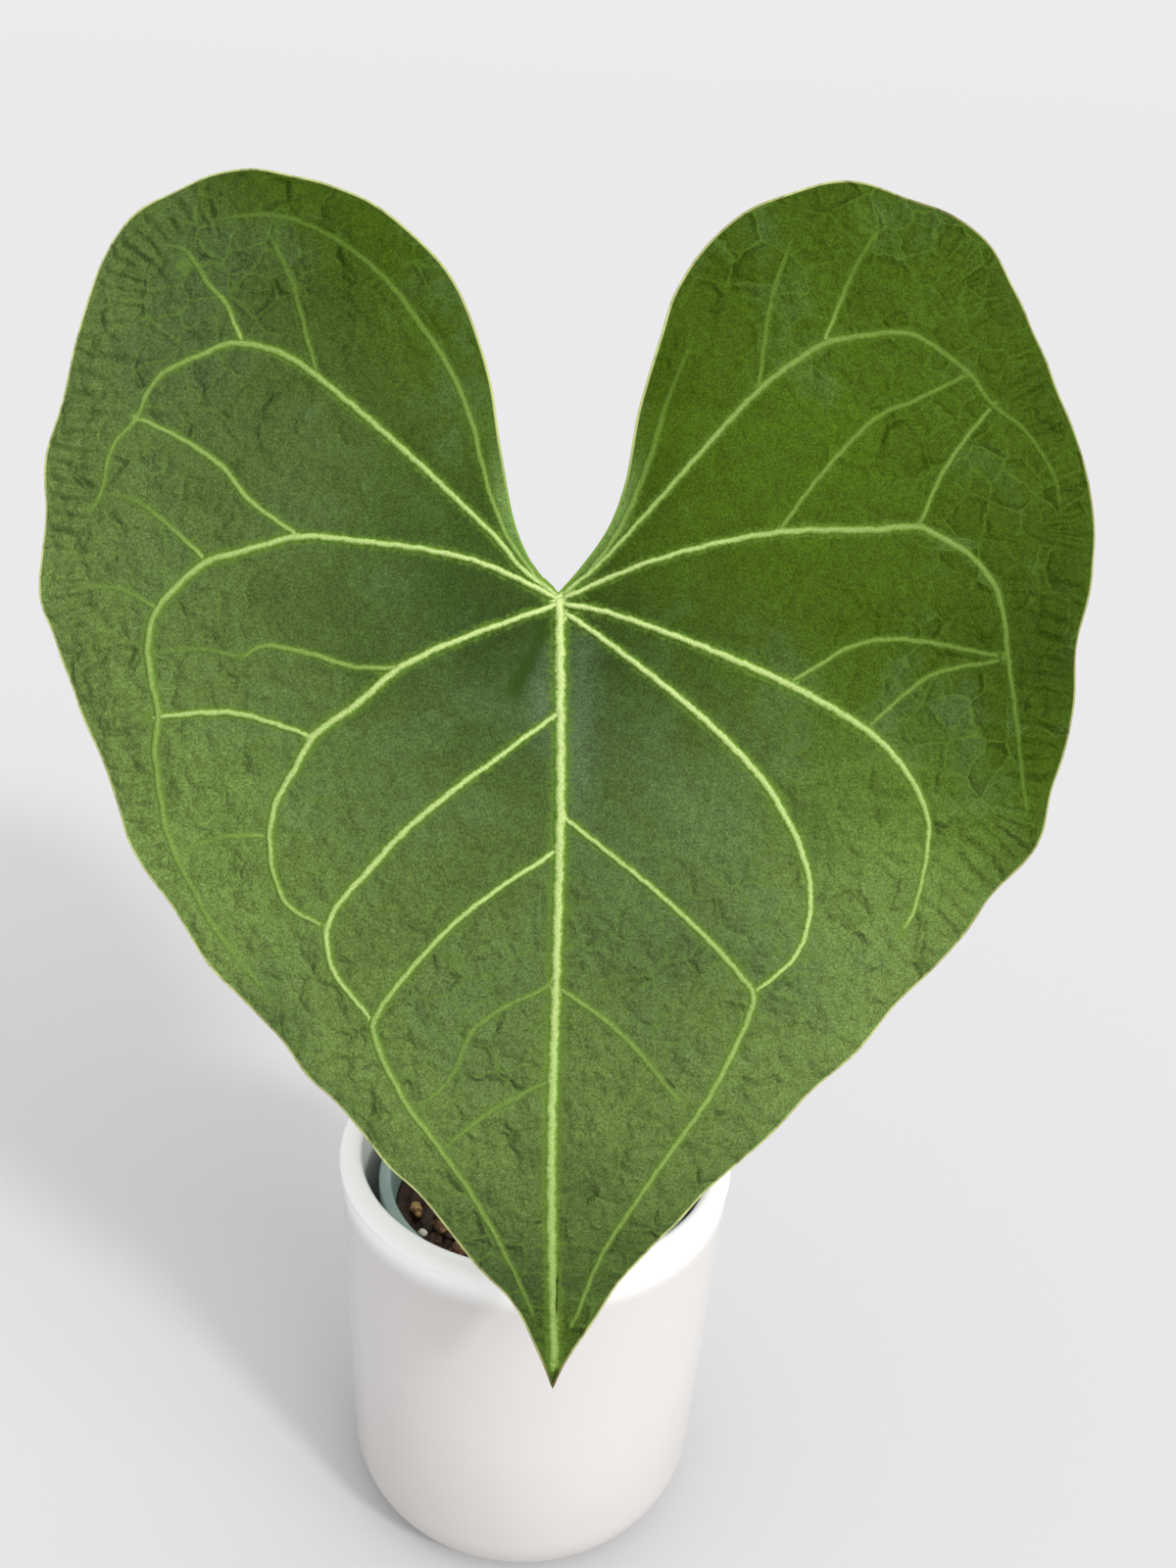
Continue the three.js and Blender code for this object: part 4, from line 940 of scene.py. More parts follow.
GRID_STEP = 1.4
UPPER_COLUMNS = 100
LOWER_COLUMNS = 34
ROUTE_STEP = 1.5
PAIRS_AT_ONCE = 3_000_000
VEIN_SINK = 0.3
UPPER_FOOT_EXTRA = 0.55
UNDER_FOOT_EXTRA = 1.0

# The sheet between the veins puffs up and swells in waves, and the petiole's pull has left one
# short crease beside the midrib.
PUFF_HEIGHT = 0.55
PUFF_REACH = 4.5
SWELL_HEIGHT = 0.45
CREASE_ROUTE = [(-3.2, -8.0), (-6.5, -15.5), (-11.0, -24.5)]
CREASE_DEPTH = 0.9
CREASE_HALF_WIDTH = 1.4
CREASE_SHADE_WIDTH = 1.8

# Lighter and darker spots, partly painted light and shade (darker where the margin turns away and
# towards the tip) and partly the blade's own tone, with the brown drip tip: the middle of each, its
# radius, and how much lighter it is.
LIGHT_SHADE_AND_TONE_SPOTS = [
    (-92, 62, 48, -0.3), (-90, -62, 36, 0.3), (85, -60, 32, 0.3), (10, -165, 42, -0.3),
    (126, -12, 26, -0.3), (68, 44, 26, 0.2), (0, -12, 30, -0.25), (30, -90, 26, -0.15),
    (2.4, -209, 6, -0.5),
]


def nearest_on(points, line):
    """For each point, its distance to a polyline and how far along that lies. The foot on a leg
    is at share (p - a) . leg / leg . leg of it, held between 0 and 1."""
    start = line[:-1]
    leg = np.diff(line, axis=0)
    square = (leg ** 2).sum(axis=1)
    run = np.concatenate([[0], np.cumsum(np.sqrt(square))])
    gap = np.empty(len(points))
    along = np.empty(len(points))
    blocks = max(1, len(points) * len(leg) // PAIRS_AT_ONCE)
    for block in np.array_split(np.arange(len(points)), blocks):
        away_u = points[block, 0, None] - start[:, 0]
        away_v = points[block, 1, None] - start[:, 1]
        share = np.clip((away_u * leg[:, 0] + away_v * leg[:, 1]) / square, 0, 1)
        away = np.hypot(away_u - share * leg[:, 0], away_v - share * leg[:, 1])
        best = away.argmin(axis=1)
        row = np.arange(len(block))
        gap[block] = away[row, best]
        along[block] = run[best] + share[row, best] * np.sqrt(square[best])
    return gap, along


def vein_half_width(index, pale, share):
    """A vein's half width: wider where it is pale, and on high veins where they bend half way."""
    bend = 0 if index == 0 else VEINS[index][0] * VEIN_BEND_EXTRA
    extra = MIDRIB_EXTRA if index == 0 else bend * np.sin(np.pi * share) ** 2
    return VEIN_HALF_WIDTH + VEIN_WIDENING * pale + extra


def vein_route(knots, step):
    """A vein's smooth curve, moved about a little by sines of its own place, about 6 mm long."""
    u, v = smooth_curve(knots, step).T
    return np.stack([u + VEIN_WOBBLE * np.sin(0.5 * u + 0.8 * v),
                     v + VEIN_WOBBLE * np.sin(0.9 * u - 0.6 * v)], axis=1)


def faded(root, end, share):
    """How pale a vein is part way along, fading faster near its root: root + (end - root) x
    share ^ fade."""
    return root + (end - root) * share ** VEIN_FADE


left_line = smooth_curve(LEFT_MARGIN, 1.0)
right_line = smooth_curve(RIGHT_MARGIN, 1.0)
round_line = np.vstack([smooth_curve(LEFT_MARGIN, MARGIN_STEP / 2),
                        smooth_curve(RIGHT_MARGIN, MARGIN_STEP / 2)[-2::-1]])
vein_routes = [vein_route(vein[4], ROUTE_STEP) for vein in VEINS]


def leaf_field(u, v):
    """All that the blade's shape and colour need at flat points: the margin's and the veins'
    distances, and the lift of the sheet over its smooth form."""
    points = np.stack([u, v], axis=1)
    margin_gap, round_run = nearest_on(points, round_line)
    across = np.full(len(u), 9.0)
    vein_gap = np.full(len(u), 99.0)
    pale = np.zeros(len(u))
    for index, (vein, route) in enumerate(zip(VEINS, vein_routes)):
        gap, along = nearest_on(points, route)
        share = along / along.max()
        own_pale = faded(vein[2], vein[3], share)
        own_across = gap / vein_half_width(index, own_pale, share)
        nearer = own_across < across
        across = np.where(nearer, own_across, across)
        pale = np.where(nearer, own_pale, pale)
        vein_gap = np.minimum(vein_gap, gap)
    from_sinus = np.hypot(u, v)
    wave = MARGIN_WAVE * np.sin(2 * np.pi * round_run / MARGIN_WAVE_LENGTH) - MARGIN_DROOP
    margin_lift = wave * smoothstep(from_sinus, 20, 60) * np.exp(-margin_gap / MARGIN_WAVE_REACH)
    puff = PUFF_HEIGHT * (1 - np.exp(-vein_gap / PUFF_REACH)) * smoothstep(margin_gap, 0, 10)
    pleat_band = smoothstep(margin_gap, 0.5, 4) * (1 - smoothstep(margin_gap, 9, 20))
    sides = smoothstep(np.abs(u), 70, 110)
    swell = SWELL_HEIGHT * np.sin(u / 9.5 + 1.2 * np.sin(v / 23)) * np.sin(v / 11.5 + 0.6)
    calm = smoothstep(vein_gap, 0.5, 7) * smoothstep(margin_gap, 0, 12)
    crease_gap, crease_run = nearest_on(points, np.array(CREASE_ROUTE))
    fold = np.exp(-(crease_gap / CREASE_HALF_WIDTH) ** 2) * smoothstep(crease_run, 0, 4)
    lift = margin_lift + puff + swell * calm - CREASE_DEPTH * fold
    ripple = np.sin(round_run / 4.1 + 2 * np.sin(round_run / 23)) * np.sin(round_run / 13 + 1)
    push = MARGIN_RIPPLE * ripple * smoothstep(from_sinus, 20, 60) * np.exp(-margin_gap / 2.5)
    # Painted sheen: a grey band on each slope of the trough beside the midrib, wider and longer on the
    # right.
    right_trough_sheen = np.exp(-((u - 5.5) / 5) ** 2) * smoothstep(-v, 3, 15) * (1 - smoothstep(-v, 40, 72))
    left_trough_sheen = np.exp(-((u + 4) / 3) ** 2) * smoothstep(-v, 8, 16) * (1 - smoothstep(-v, 26, 45))
    tone = 1 + sum(more * np.exp(-((u - spot_u) ** 2 + (v - spot_v) ** 2) / radius ** 2)
                   for spot_u, spot_v, radius, more in LIGHT_SHADE_AND_TONE_SPOTS)
    marks = {
        "vein_across": np.minimum(across, 9), "vein_pale": pale, "margin_gap": np.minimum(margin_gap, 12),
        "crease": np.exp(-(crease_gap / CREASE_SHADE_WIDTH) ** 2),
        "bloom": right_trough_sheen + left_trough_sheen, "tone": tone, "round_run": round_run,
        "pleating": pleat_band * sides,
        "collar": (1 - smoothstep(margin_gap, 1.5, 5)) * (1 - smoothstep(from_sinus, 22, 48)),
    }
    return lift, push, marks


def leaf_point(u, v, lift, push, offset=0):
    """A point of the sheet, its flat place first pushed outwards from the middle of the blade."""
    away = np.hypot(u, v + 20)
    return blade_point(u + push * u / away, v + push * (v + 20) / away, lift, offset)


def half_sheet(margin_gap):
    """Half the sheet's thickness, which grows from the edge's to the blade's in 6 mm."""
    return EDGE_HALF_SHEET + (BLADE_HALF_SHEET - EDGE_HALF_SHEET) * smoothstep(margin_gap, 0, 6)


def face_shell(u, v, triangles, side):
    """Points, triangles and marks of one face of the sheet, side 1 above or -1 below, at half
    the sheet's thickness from its middle. The seat pad thickens the underside at the petiole."""
    lift, push, marks = leaf_field(u, v)
    offset = side * half_sheet(marks["margin_gap"])
    if side < 0:
        from_seat = np.hypot(u - PETIOLE_SEAT[0], v - PETIOLE_SEAT[1])
        pad = 1 - smoothstep(from_seat, 0.7 * SEAT_PAD_RADIUS, SEAT_PAD_RADIUS)
        offset = offset - (SEAT_PAD_HEIGHT - BLADE_HALF_SHEET) * pad
        triangles = triangles[:, ::-1]
    marks["underside"] = np.full(len(u), 1.0 if side < 0 else 0.0)
    return leaf_point(u, v, lift, push, offset), triangles, marks


def margin_sides(line):
    """A margin as two functions of v: its inner side, from the sinus to the top of its lobe, and
    its outer side, from there to the tip."""
    top = line[:, 1].argmax()
    inner, outer = line[:top + 1], line[top:][::-1]
    return (lambda v: np.interp(v, inner[:, 1], inner[:, 0]),
            lambda v: np.interp(v, outer[:, 1], outer[:, 0]), line[top])


def lobe_rows(line, step):
    """Heights of the rows above the sinus, from the lobe's top down, set closer where the margin
    runs level: even steps of v plus half of how far the two margins move sideways."""
    inner, outer, top = margin_sides(line)
    fine = np.linspace(top[1], 0, 4000)
    inner_u, outer_u = inner(fine), outer(fine)
    inner_u[0] = outer_u[0] = top[0]
    border_run = np.abs(np.gradient(inner_u)) + np.abs(np.gradient(outer_u))
    measure = np.abs(np.gradient(fine)) + 0.5 * border_run
    run = np.cumsum(measure) - measure[0]
    return np.interp(np.linspace(0, run[-1], round(run[-1] / step) + 1), run, fine)


def half_blade(line, columns, reverse):
    """Flat grid of one half: on each level row, even steps from the inner margin, or the midrib
    below the sinus, to the outer margin. Reverse runs them inwards, so that the right half faces
    as the left does. Also the two margins' points, top down."""
    inner, outer, top = margin_sides(line)
    upper_rows = lobe_rows(line, GRID_STEP)
    tip_v = line[-1, 1]
    lower_rows = np.linspace(0, tip_v, round(-tip_v / GRID_STEP) + 1)[1:]
    rows = np.concatenate([upper_rows, lower_rows])
    from_u = np.where(rows >= 0, inner(rows), line[-1, 0] * rows / tip_v)
    to_u = outer(rows)
    from_u[0] = to_u[0] = top[0]
    share = np.linspace(0, 1, columns)
    if reverse:
        share = share[::-1]
    u = from_u[:, None] + (to_u - from_u)[:, None] * share
    v = rows[:, None] + 0 * share
    inner_edge = np.stack([from_u, rows], axis=1)[:len(upper_rows)]
    outer_edge = np.stack([to_u, rows], axis=1)
    return u.ravel(), v.ravel(), squares(len(rows), columns), inner_edge, outer_edge


def edge_shell(loop):
    """The rounded edge, carried round the whole outline: at each point a half turn from the upper
    face, out by the bead, to the lower face."""
    ahead = np.roll(loop, -1, axis=0) - np.roll(loop, 1, axis=0)
    ahead /= np.maximum(np.linalg.norm(ahead, axis=1, keepdims=True), 1e-9)
    outward = np.stack([ahead[:, 1], -ahead[:, 0]], axis=1)
    lift, push, marks = leaf_field(*loop.T)
    turn = np.radians(np.linspace(90, -90, EDGE_POINTS))
    normal = blade_normal(*loop.T)
    sideways = outward[:, :1] * blade_right + outward[:, 1:] * blade_up
    rim = leaf_point(*loop.T, lift, push)[:, None]
    points = (rim + EDGE_HALF_SHEET * np.sin(turn)[:, None] * normal[:, None]
              + EDGE_BEAD * np.cos(turn)[:, None] * sideways[:, None])
    marks = {name: np.repeat(values, EDGE_POINTS) for name, values in marks.items()}
    marks["underside"] = np.tile((turn < 0).astype(float), len(loop))
    return points.reshape(-1, 3), squares(len(loop), EDGE_POINTS), marks


def vein_shell(index, side):
    """A vein as a low ridge carried along its route: across it the height is crest x cos^2, its
    feet dip into the sheet, and its ends close to points inside the sheet."""
    crest_root, crest_end, pale_root, pale_end, knots = VEINS[index]
    route = vein_route(knots, VEIN_STEP if side > 0 else UNDER_VEIN_STEP)
    share = np.linspace(0, 1, len(route))
    pale = faded(pale_root, pale_end, share)
    crest = (crest_root + (crest_end - crest_root) * share) * (1 if side > 0 else UNDERSIDE_SHARE)
    ahead = np.gradient(route, axis=0)
    ahead /= np.linalg.norm(ahead, axis=1, keepdims=True)
    rightward = side * np.stack([ahead[:, 1], -ahead[:, 0]], axis=1)
    places = np.array([-1, -0.84, -0.62, -0.36, 0, 0.36, 0.62, 0.84, 1] if side > 0
                      else [-1, -0.7, -0.36, 0, 0.36, 0.7, 1])
    run = len(route) - 1 - np.arange(len(route))
    taper = smoothstep(np.minimum(np.arange(len(route)) * 0.7, run * 0.5), 0, 1)
    extra = UPPER_FOOT_EXTRA if side > 0 else UNDER_FOOT_EXTRA
    foot = (vein_half_width(index, pale, share) + extra) * taper
    flat = route[:, None] + (foot[:, None] * places)[..., None] * rightward[:, None]
    u, v = flat[..., 0].ravel(), flat[..., 1].ravel()
    lift, push, marks = leaf_field(u, v)
    raised = crest[:, None] * np.cos(np.pi / 2 * np.minimum(np.abs(places) / 0.9, 1)) ** 2 + 0.03
    sunk = raised * taper[:, None] - VEIN_SINK * (1 - taper[:, None])
    raised = np.where(np.abs(places) == 1, -VEIN_SINK, sunk)
    offset = side * (half_sheet(marks["margin_gap"]) + raised.ravel())
    marks["underside"] = np.full(len(u), 1.0 if side < 0 else 0.0)
    faces = squares(len(route), len(places), round_columns=True)
    return leaf_point(u, v, lift, push, offset), faces, marks


LAMINA_DEEP = "#384f0a"
LAMINA_MOSS = "#33481c"
LAMINA_LIGHT = "#60763c"
LAMINA_FACET_SHEEN = "#465b36"
LAMINA_TROUGH_SHEEN = "#5f7556"
CREASE_SHADE_COLOUR = "#28400c"
VEIN_CREAM = "#c2d48f"
VEIN_FRESH = "#6a8c33"
VEIN_FRINGE = "#587628"
COLLAR_GREEN = "#698546"
EDGE_STRAW = "#b3b97c"
EDGE_BROWN = "#5d4a20"
UNDER_GREEN = "#8ba068"
UNDER_VEIN = "#b7c78a"
LEAF_IOR = 1.42
FACETS_A_METRE = 110.0
PUCKERS_A_METRE = 260.0
PLEAT_LENGTH = 4.6

# How far the relief rises, in metres. A facet and a pucker are highest in their middle.
FACET_LIFT = -0.0016
PUCKER_LIFT = -0.0012
MOTTLE_LIFT = 0.0011
PLEAT_LIFT = 0.0006

velvet, tree = finish("velvety_leaf_skin")
place = add(tree, "ShaderNodeTexCoord").outputs["Object"]
mark = {name: add(tree, "ShaderNodeAttribute", attribute_name=name).outputs["Fac"] for name in (
    "vein_across", "vein_pale", "margin_gap", "round_run", "pleating", "crease", "bloom", "tone",
    "collar", "underside",
)}

# Broad clouds of tone four centimetres across, mottling 2.5 mm across, a velvet nap of 0.6 mm
# and the 1 mm feathering of the veins' edges.
clouds = add(tree, "ShaderNodeTexNoise", {"Vector": place, "Scale": 26.0, "Detail": 3.0}).outputs["Fac"]
mottling = add(tree, "ShaderNodeTexNoise", {"Vector": place, "Scale": 400.0, "Detail": 3.0}).outputs["Fac"]
speckle = add(tree, "ShaderNodeTexNoise", {"Vector": place, "Scale": 1800.0, "Detail": 3.0}).outputs["Fac"]
feather = add(tree, "ShaderNodeTexNoise", {"Vector": place, "Scale": 950.0, "Detail": 2.0}).outputs["Fac"]

# The lamina: mossy near the sinus, lighter further out, and deep green at the tip and high on
# the lobes, the right one most.
from_sinus = add(tree, "ShaderNodeVectorMath", {
    0: place, 1: tuple(SINUS_POINT / 1000),
}, operation="DISTANCE").outputs["Value"]
outness = add(tree, "ShaderNodeMapRange", {
    "Value": from_sinus, "From Min": 0.02, "From Max": 0.13, "To Min": -0.5, "To Max": 0.5,
})
cloud_share = add(tree, "ShaderNodeMath", {
    0: outness.outputs[0], 1: clouds,
}, operation="ADD", use_clamp=True)
lamina = add(tree, "ShaderNodeMix", {
    0: cloud_share.outputs[0], 6: linear(LAMINA_MOSS), 7: linear(LAMINA_LIGHT),
}, data_type="RGBA")
upward = add(tree, "ShaderNodeVectorMath", {
    0: place, 1: (0.55, 0.0, 0.83),
}, operation="DOT_PRODUCT").outputs["Value"]
lobe_share = add(tree, "ShaderNodeMapRange", {
    "Value": upward, "From Min": 0.245, "From Max": 0.31,
}, interpolation_type="SMOOTHSTEP")
height = add(tree, "ShaderNodeSeparateXYZ", {0: place}).outputs["Z"]
tip_share = add(tree, "ShaderNodeMapRange", {
    "Value": height, "From Min": 0.19, "From Max": 0.14, "To Max": 0.8,
}, interpolation_type="SMOOTHSTEP")
fresh_share = add(tree, "ShaderNodeMath", {
    0: lobe_share.outputs[0], 1: tip_share.outputs[0],
}, operation="ADD", use_clamp=True)
lobed = add(tree, "ShaderNodeMix", {
    0: fresh_share.outputs[0], 6: lamina.outputs[2], 7: linear(LAMINA_DEEP),
}, data_type="RGBA")

# The net parts the blade into facets 9 mm across. Each is domed and leans its own way, and the
# lean fades to nothing at its edge. Smaller puckers of 4 mm lie inside them.
wandering = add(tree, "ShaderNodeVectorMath", {
    0: add(tree, "ShaderNodeTexNoise", {"Vector": place, "Scale": 320.0, "Detail": 1.0}).outputs["Color"],
    1: (0.002, 0.002, 0.002), 2: place,
}, operation="MULTIPLY_ADD").outputs[0]
facet = add(tree, "ShaderNodeTexVoronoi", {"Vector": wandering, "Scale": FACETS_A_METRE})
facet_own = add(tree, "ShaderNodeSeparateXYZ", {0: facet.outputs["Color"]}).outputs["X"]
net_gap = add(tree, "ShaderNodeTexVoronoi", {
    "Vector": wandering, "Scale": FACETS_A_METRE,
}, feature="DISTANCE_TO_EDGE").outputs["Distance"]
pucker = add(tree, "ShaderNodeTexVoronoi", {
    "Vector": wandering, "Scale": PUCKERS_A_METRE,
}).outputs["Distance"]

# Painted sheen: some facets are greyer than their neighbours, in drifts, with less of it high on the right
# lobe.
clearing = add(tree, "ShaderNodeMapRange", {
    "Value": upward, "From Min": 0.31, "From Max": 0.37, "To Max": -0.35,
})
cleared = add(tree, "ShaderNodeMath", {
    0: facet_own, 1: 0.45, 2: clearing.outputs[0],
}, operation="MULTIPLY_ADD")
drift = add(tree, "ShaderNodeMath", {0: clouds, 1: 4.0, 2: cleared.outputs[0]}, operation="MULTIPLY_ADD")
mottled = add(tree, "ShaderNodeMath", {0: mottling, 1: 0.7, 2: drift.outputs[0]}, operation="MULTIPLY_ADD")
facet_sheen_share = add(tree, "ShaderNodeMapRange", {
    "Value": mottled.outputs[0], "From Min": 2.5, "From Max": 3.2, "To Max": 0.5,
})
facet_sheened = add(tree, "ShaderNodeMix", {
    0: facet_sheen_share.outputs[0], 6: lobed.outputs[2], 7: linear(LAMINA_FACET_SHEEN),
}, data_type="RGBA")

# A painted grey sheen lies along the trough beside the midrib, and a lighter band follows the margin
# round the sinus.
trough_sheened = add(tree, "ShaderNodeMix", {
    0: add(tree, "ShaderNodeMath", {0: mark["bloom"], 1: 0.45}, operation="MULTIPLY").outputs[0],
    6: facet_sheened.outputs[2], 7: linear(LAMINA_TROUGH_SHEEN),
}, data_type="RGBA")
collared = add(tree, "ShaderNodeMix", {
    0: add(tree, "ShaderNodeMath", {0: mark["collar"], 1: 0.75}, operation="MULTIPLY").outputs[0],
    6: trough_sheened.outputs[2], 7: linear(COLLAR_GREEN),
}, data_type="RGBA")

# Each facet catches the light a little differently, and so do the mottles and the velvet nap.
facet_tone = add(tree, "ShaderNodeMapRange", {"Value": facet_own, "To Min": 0.92, "To Max": 1.08})
mottle_tone = add(tree, "ShaderNodeMapRange", {
    "Value": mottling, "From Min": 0.3, "From Max": 0.7, "To Min": 0.9, "To Max": 1.1,
})
speckle_tone = add(tree, "ShaderNodeMapRange", {
    "Value": speckle, "From Min": 0.35, "From Max": 0.7, "To Min": 0.7, "To Max": 1.42,
})
coarse_tone = add(tree, "ShaderNodeMath", {
    0: facet_tone.outputs[0], 1: mottle_tone.outputs[0],
}, operation="MULTIPLY")
fine_tone = add(tree, "ShaderNodeMath", {
    0: coarse_tone.outputs[0], 1: speckle_tone.outputs[0],
}, operation="MULTIPLY")
# The spots add their painted light and shade and the blade's own tone.
light_and_tone = add(tree, "ShaderNodeMath", {0: fine_tone.outputs[0], 1: mark["tone"]}, operation="MULTIPLY")
toned = add(tree, "ShaderNodeVectorMath", {
    0: collared.outputs[2], "Scale": light_and_tone.outputs[0],
}, operation="SCALE")

# The net: faint veinlets along the facets' edges, stronger in the clouds and away from the sinus.
net_reach = add(tree, "ShaderNodeMapRange", {
    "Value": from_sinus, "From Min": 0.05, "From Max": 0.1, "To Max": 0.4,
})
net_strength = add(tree, "ShaderNodeMapRange", {
    "Value": clouds, "From Min": 0.4, "From Max": 0.6, "To Max": net_reach.outputs[0],
})
net_line = add(tree, "ShaderNodeMapRange", {
    "Value": net_gap, "From Min": 0.05, "From Max": 0.0, "To Max": net_strength.outputs[0],
}, interpolation_type="SMOOTHSTEP")
netted = add(tree, "ShaderNodeMix", {
    0: net_line.outputs[0], 6: toned.outputs[0], 7: linear(VEIN_FRINGE),
}, data_type="RGBA")

# The veins: a green fringe that feathers into the blade, a fresh green body and a cream core
# where they are strong.
feathered = add(tree, "ShaderNodeMapRange", {
    "Value": feather, "From Min": 0.3, "From Max": 0.7, "To Min": -0.22, "To Max": 0.22,
})
ragged = add(tree, "ShaderNodeMath", {0: mark["vein_across"], 1: feathered.outputs[0]}, operation="ADD")
frayed = add(tree, "ShaderNodeMath", {
    0: feathered.outputs[0], 1: 3.6, 2: mark["vein_across"],
}, operation="MULTIPLY_ADD")
fringe_strength = add(tree, "ShaderNodeMapRange", {
    "Value": mark["vein_pale"], "From Max": 0.4, "To Min": 0.1, "To Max": 0.7,
})
fringe_share = add(tree, "ShaderNodeMapRange", {
    "Value": frayed.outputs[0], "From Min": 2.7, "From Max": 0.9, "To Max": fringe_strength.outputs[0],
}, interpolation_type="SMOOTHSTEP")
fringed = add(tree, "ShaderNodeMix", {
    0: fringe_share.outputs[0], 6: netted.outputs[2], 7: linear(VEIN_FRINGE),
}, data_type="RGBA")
body_share = add(tree, "ShaderNodeMapRange", {
    "Value": ragged.outputs[0], "From Min": 1.25, "From Max": 0.7,
}, interpolation_type="SMOOTHSTEP")
pale_share = add(tree, "ShaderNodeMapRange", {
    "Value": mark["vein_pale"], "From Max": 0.5, "To Min": 0.1, "To Max": 0.95,
})
vein_share = add(tree, "ShaderNodeMath", {
    0: body_share.outputs[0], 1: pale_share.outputs[0],
}, operation="MULTIPLY")
core_share = add(tree, "ShaderNodeMapRange", {
    "Value": ragged.outputs[0], "From Min": 0.95, "From Max": 0.3,
}, interpolation_type="SMOOTHSTEP")
cream_share = add(tree, "ShaderNodeMath", {
    0: core_share.outputs[0], 1: mark["vein_pale"],
}, operation="MULTIPLY")
vein_tone = add(tree, "ShaderNodeMix", {
    0: cream_share.outputs[0], 6: linear(VEIN_FRESH), 7: linear(VEIN_CREAM),
}, data_type="RGBA")
# Painted glints: the velvet nap lightens and darkens the veins too, as on the blade.
vein_nap_glints = add(tree, "ShaderNodeMapRange", {
    "Value": speckle, "From Min": 0.35, "From Max": 0.7, "To Min": 0.85, "To Max": 1.2,
})
napped = add(tree, "ShaderNodeVectorMath", {
    0: vein_tone.outputs[2], "Scale": vein_nap_glints.outputs[0],
}, operation="SCALE")
veined = add(tree, "ShaderNodeMix", {
    0: vein_share.outputs[0], 6: fringed.outputs[2], 7: napped.outputs[0],
}, data_type="RGBA")

# The cartilage edge: straw-coloured, green round the sinus, and brown at the drip tip, down the
# right side and in places elsewhere.
edge_share = add(tree, "ShaderNodeMapRange", {
    "Value": mark["margin_gap"], "From Min": 0.6, "From Max": 0.25, "To Max": 0.9,
})
tip_brown = add(tree, "ShaderNodeMapRange", {"Value": height, "From Min": 0.15, "From Max": 0.13})
rightness = add(tree, "ShaderNodeSeparateXYZ", {0: place}).outputs["X"]
side_brown = add(tree, "ShaderNodeMapRange", {
    "Value": rightness, "From Min": 0.03, "From Max": 0.12, "To Min": -0.3, "To Max": 0.3,
})
cloud_brown = add(tree, "ShaderNodeMapRange", {"Value": clouds, "From Min": 0.45, "From Max": 0.75})
brown_sum = add(tree, "ShaderNodeMath", {
    0: side_brown.outputs[0], 1: cloud_brown.outputs[0],
}, operation="ADD")
brown_share = add(tree, "ShaderNodeMath", {
    0: tip_brown.outputs[0], 1: brown_sum.outputs[0],
}, operation="ADD", use_clamp=True)
edge_dry = add(tree, "ShaderNodeMix", {
    0: brown_share.outputs[0], 6: linear(EDGE_STRAW), 7: linear(EDGE_BROWN),
}, data_type="RGBA")
edge_tone = add(tree, "ShaderNodeMix", {
    0: mark["collar"], 6: edge_dry.outputs[2], 7: linear(VEIN_FRESH),
}, data_type="RGBA")
edged = add(tree, "ShaderNodeMix", {
    0: edge_share.outputs[0], 6: veined.outputs[2], 7: edge_tone.outputs[2],
}, data_type="RGBA")
# Painted shade darkens the crease beside the midrib.
crease_shaded = add(tree, "ShaderNodeMix", {
    0: add(tree, "ShaderNodeMath", {0: mark["crease"], 1: 0.85}, operation="MULTIPLY").outputs[0],
    6: edged.outputs[2], 7: linear(CREASE_SHADE_COLOUR),
}, data_type="RGBA")

# The underside: matt pale green, its veins paler still.
under = add(tree, "ShaderNodeMix", {
    0: body_share.outputs[0], 6: linear(UNDER_GREEN), 7: linear(UNDER_VEIN),
}, data_type="RGBA")
skin = add(tree, "ShaderNodeMix", {
    0: mark["underside"], 6: crease_shaded.outputs[2], 7: under.outputs[2],
}, data_type="RGBA")

# The relief, stronger away from the sinus and nearly smooth on the veins: domed and leaning
# facets, puckers and mottles, and pleats that run in from the margin on both sides.
off_vein = add(tree, "ShaderNodeMapRange", {
    "Value": mark["vein_across"], "From Min": 1.0, "From Max": 3.0, "To Min": 0.15, "To Max": 0.85,
}, interpolation_type="SMOOTHSTEP")
relief = add(tree, "ShaderNodeMapRange", {
    "Value": from_sinus, "From Min": 0.03, "From Max": 0.11, "To Min": 0.1, "To Max": off_vein.outputs[0],
}, interpolation_type="SMOOTHSTEP").outputs[0]
lean = add(tree, "ShaderNodeVectorMath", {
    0: facet.outputs["Color"], 1: (0.5, 0.5, 0.5),
}, operation="SUBTRACT")
away = add(tree, "ShaderNodeVectorMath", {0: wandering, 1: facet.outputs["Position"]}, operation="SUBTRACT")
rise = add(tree, "ShaderNodeVectorMath", {
    0: away.outputs[0], 1: lean.outputs[0],
}, operation="DOT_PRODUCT").outputs["Value"]
leaning = add(tree, "ShaderNodeMapRange", {
    "Value": net_gap, "From Max": 0.22, "To Max": 0.58,
}, interpolation_type="SMOOTHSTEP")
lean_lift = add(tree, "ShaderNodeMath", {0: rise, 1: leaning.outputs[0]}, operation="MULTIPLY")
facet_lift = add(tree, "ShaderNodeMath", {
    0: facet.outputs["Distance"], 1: FACET_LIFT, 2: lean_lift.outputs[0],
}, operation="MULTIPLY_ADD")
pucker_lift = add(tree, "ShaderNodeMath", {
    0: pucker, 1: PUCKER_LIFT, 2: facet_lift.outputs[0],
}, operation="MULTIPLY_ADD")
mottle_lift = add(tree, "ShaderNodeMath", {
    0: mottling, 1: MOTTLE_LIFT, 2: pucker_lift.outputs[0],
}, operation="MULTIPLY_ADD")
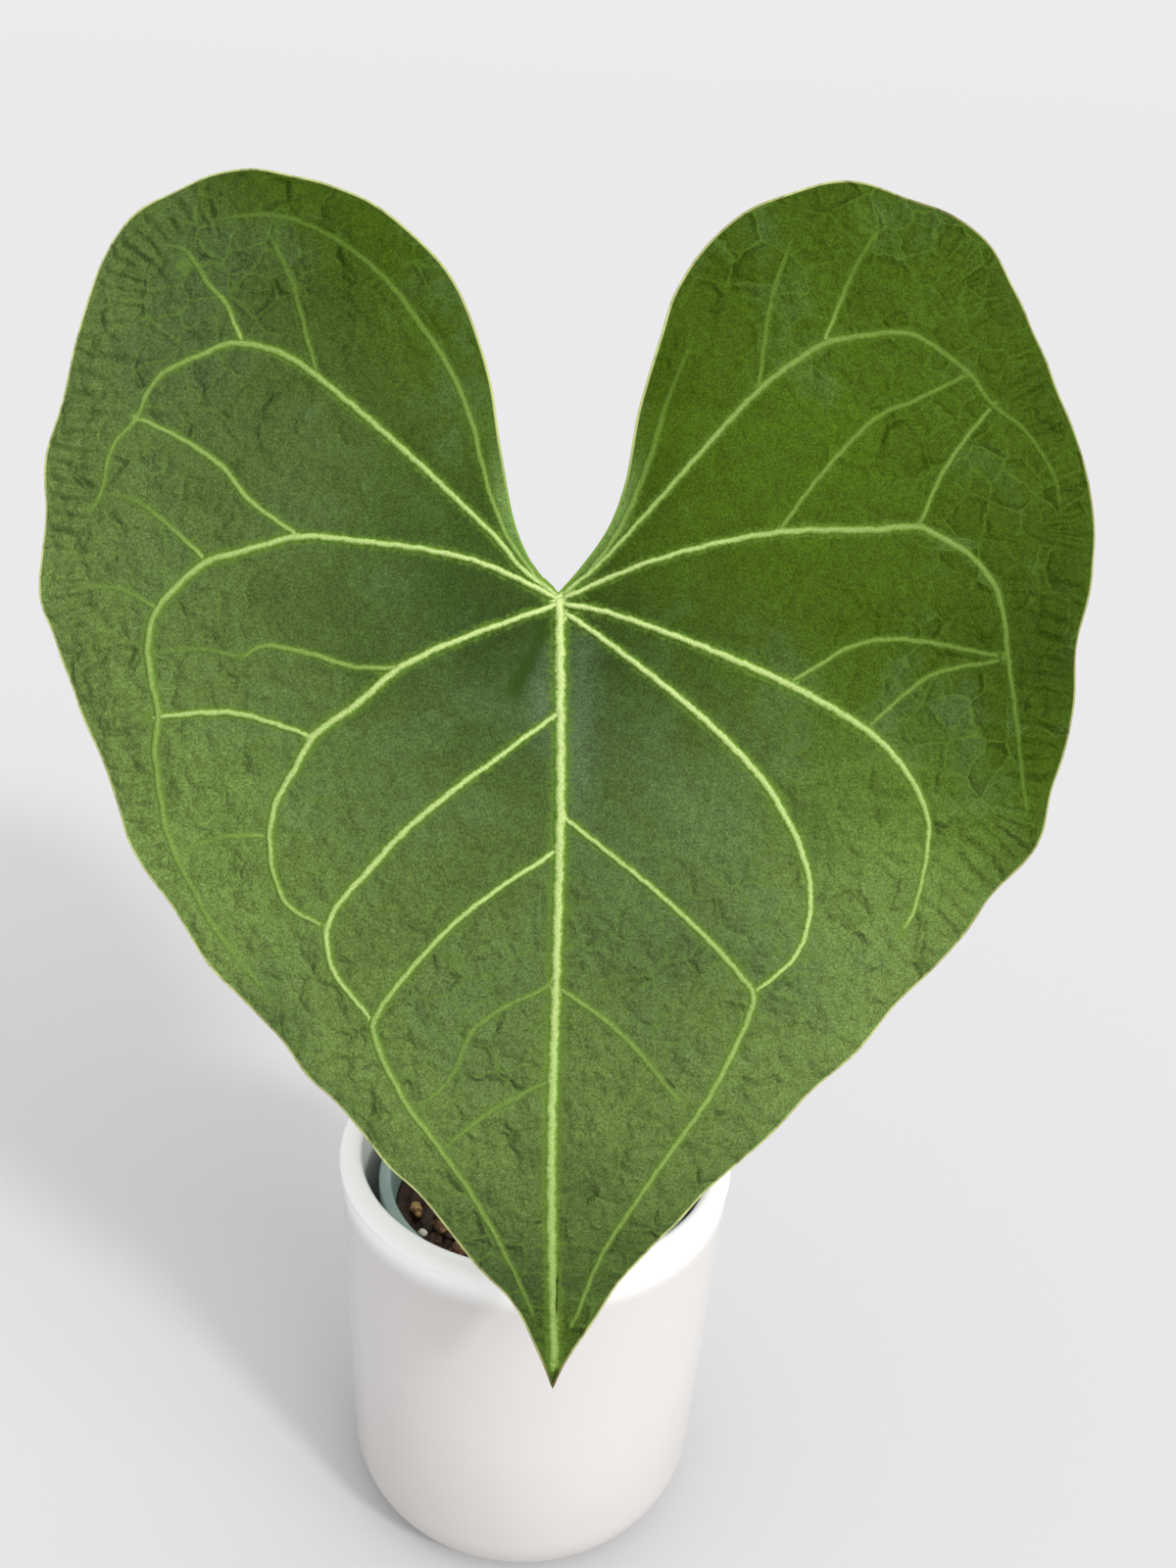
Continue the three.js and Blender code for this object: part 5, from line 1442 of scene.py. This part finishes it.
wandered = add(tree, "ShaderNodeMath", {0: clouds, 1: 14.0}, operation="MULTIPLY")
pleat_turn = add(tree, "ShaderNodeMath", {
    0: mark["round_run"], 1: 2 * math.pi / PLEAT_LENGTH, 2: wandered.outputs[0],
}, operation="MULTIPLY_ADD")
pleats = add(tree, "ShaderNodeMath", {0: pleat_turn.outputs[0]}, operation="SINE")
pleated = add(tree, "ShaderNodeMath", {0: pleats.outputs[0], 1: mark["pleating"]}, operation="MULTIPLY")
pleat_lift = add(tree, "ShaderNodeMath", {
    0: pleated.outputs[0], 1: PLEAT_LIFT, 2: mottle_lift.outputs[0],
}, operation="MULTIPLY_ADD")
raised = add(tree, "ShaderNodeBump", {"Height": pleat_lift.outputs[0], "Strength": relief, "Distance": 1.0})
nap = add(tree, "ShaderNodeBump", {
    "Height": speckle, "Strength": 0.5, "Distance": 0.00016, "Normal": raised.outputs[0],
})
matt = add(tree, "ShaderNodeMapRange", {"Value": speckle, "To Min": 0.52, "To Max": 0.72})
shader = add(tree, "ShaderNodeBsdfPrincipled", {
    "Base Color": skin.outputs[2], "Roughness": matt.outputs[0], "Normal": nap.outputs[0],
    "IOR": LEAF_IOR, "Specular IOR Level": 0.06,
})
add(tree, "ShaderNodeOutputMaterial", {"Surface": shader.outputs[0]})

left_half = half_blade(left_line, UPPER_COLUMNS, False)
right_half = half_blade(right_line, UPPER_COLUMNS, True)
left_under = half_blade(left_line, LOWER_COLUMNS, False)
right_under = half_blade(right_line, LOWER_COLUMNS, True)
outline_loop = np.vstack([
    left_half[3][::-1], left_half[4][1:], right_half[4][-2::-1], right_half[3][1:],
])
shells = [
    face_shell(*left_half[:3], 1), face_shell(*right_half[:3], 1),
    face_shell(*left_under[:3], -1), face_shell(*right_under[:3], -1),
    edge_shell(outline_loop),
]
shells += [vein_shell(index, side) for side in (1, -1) for index in range(len(VEINS))]
points, faces, marks = joined(shells)
leaf_blade = piece("velvety_leaf_blade", points, faces, velvet, marks)
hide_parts("leaf_blade")
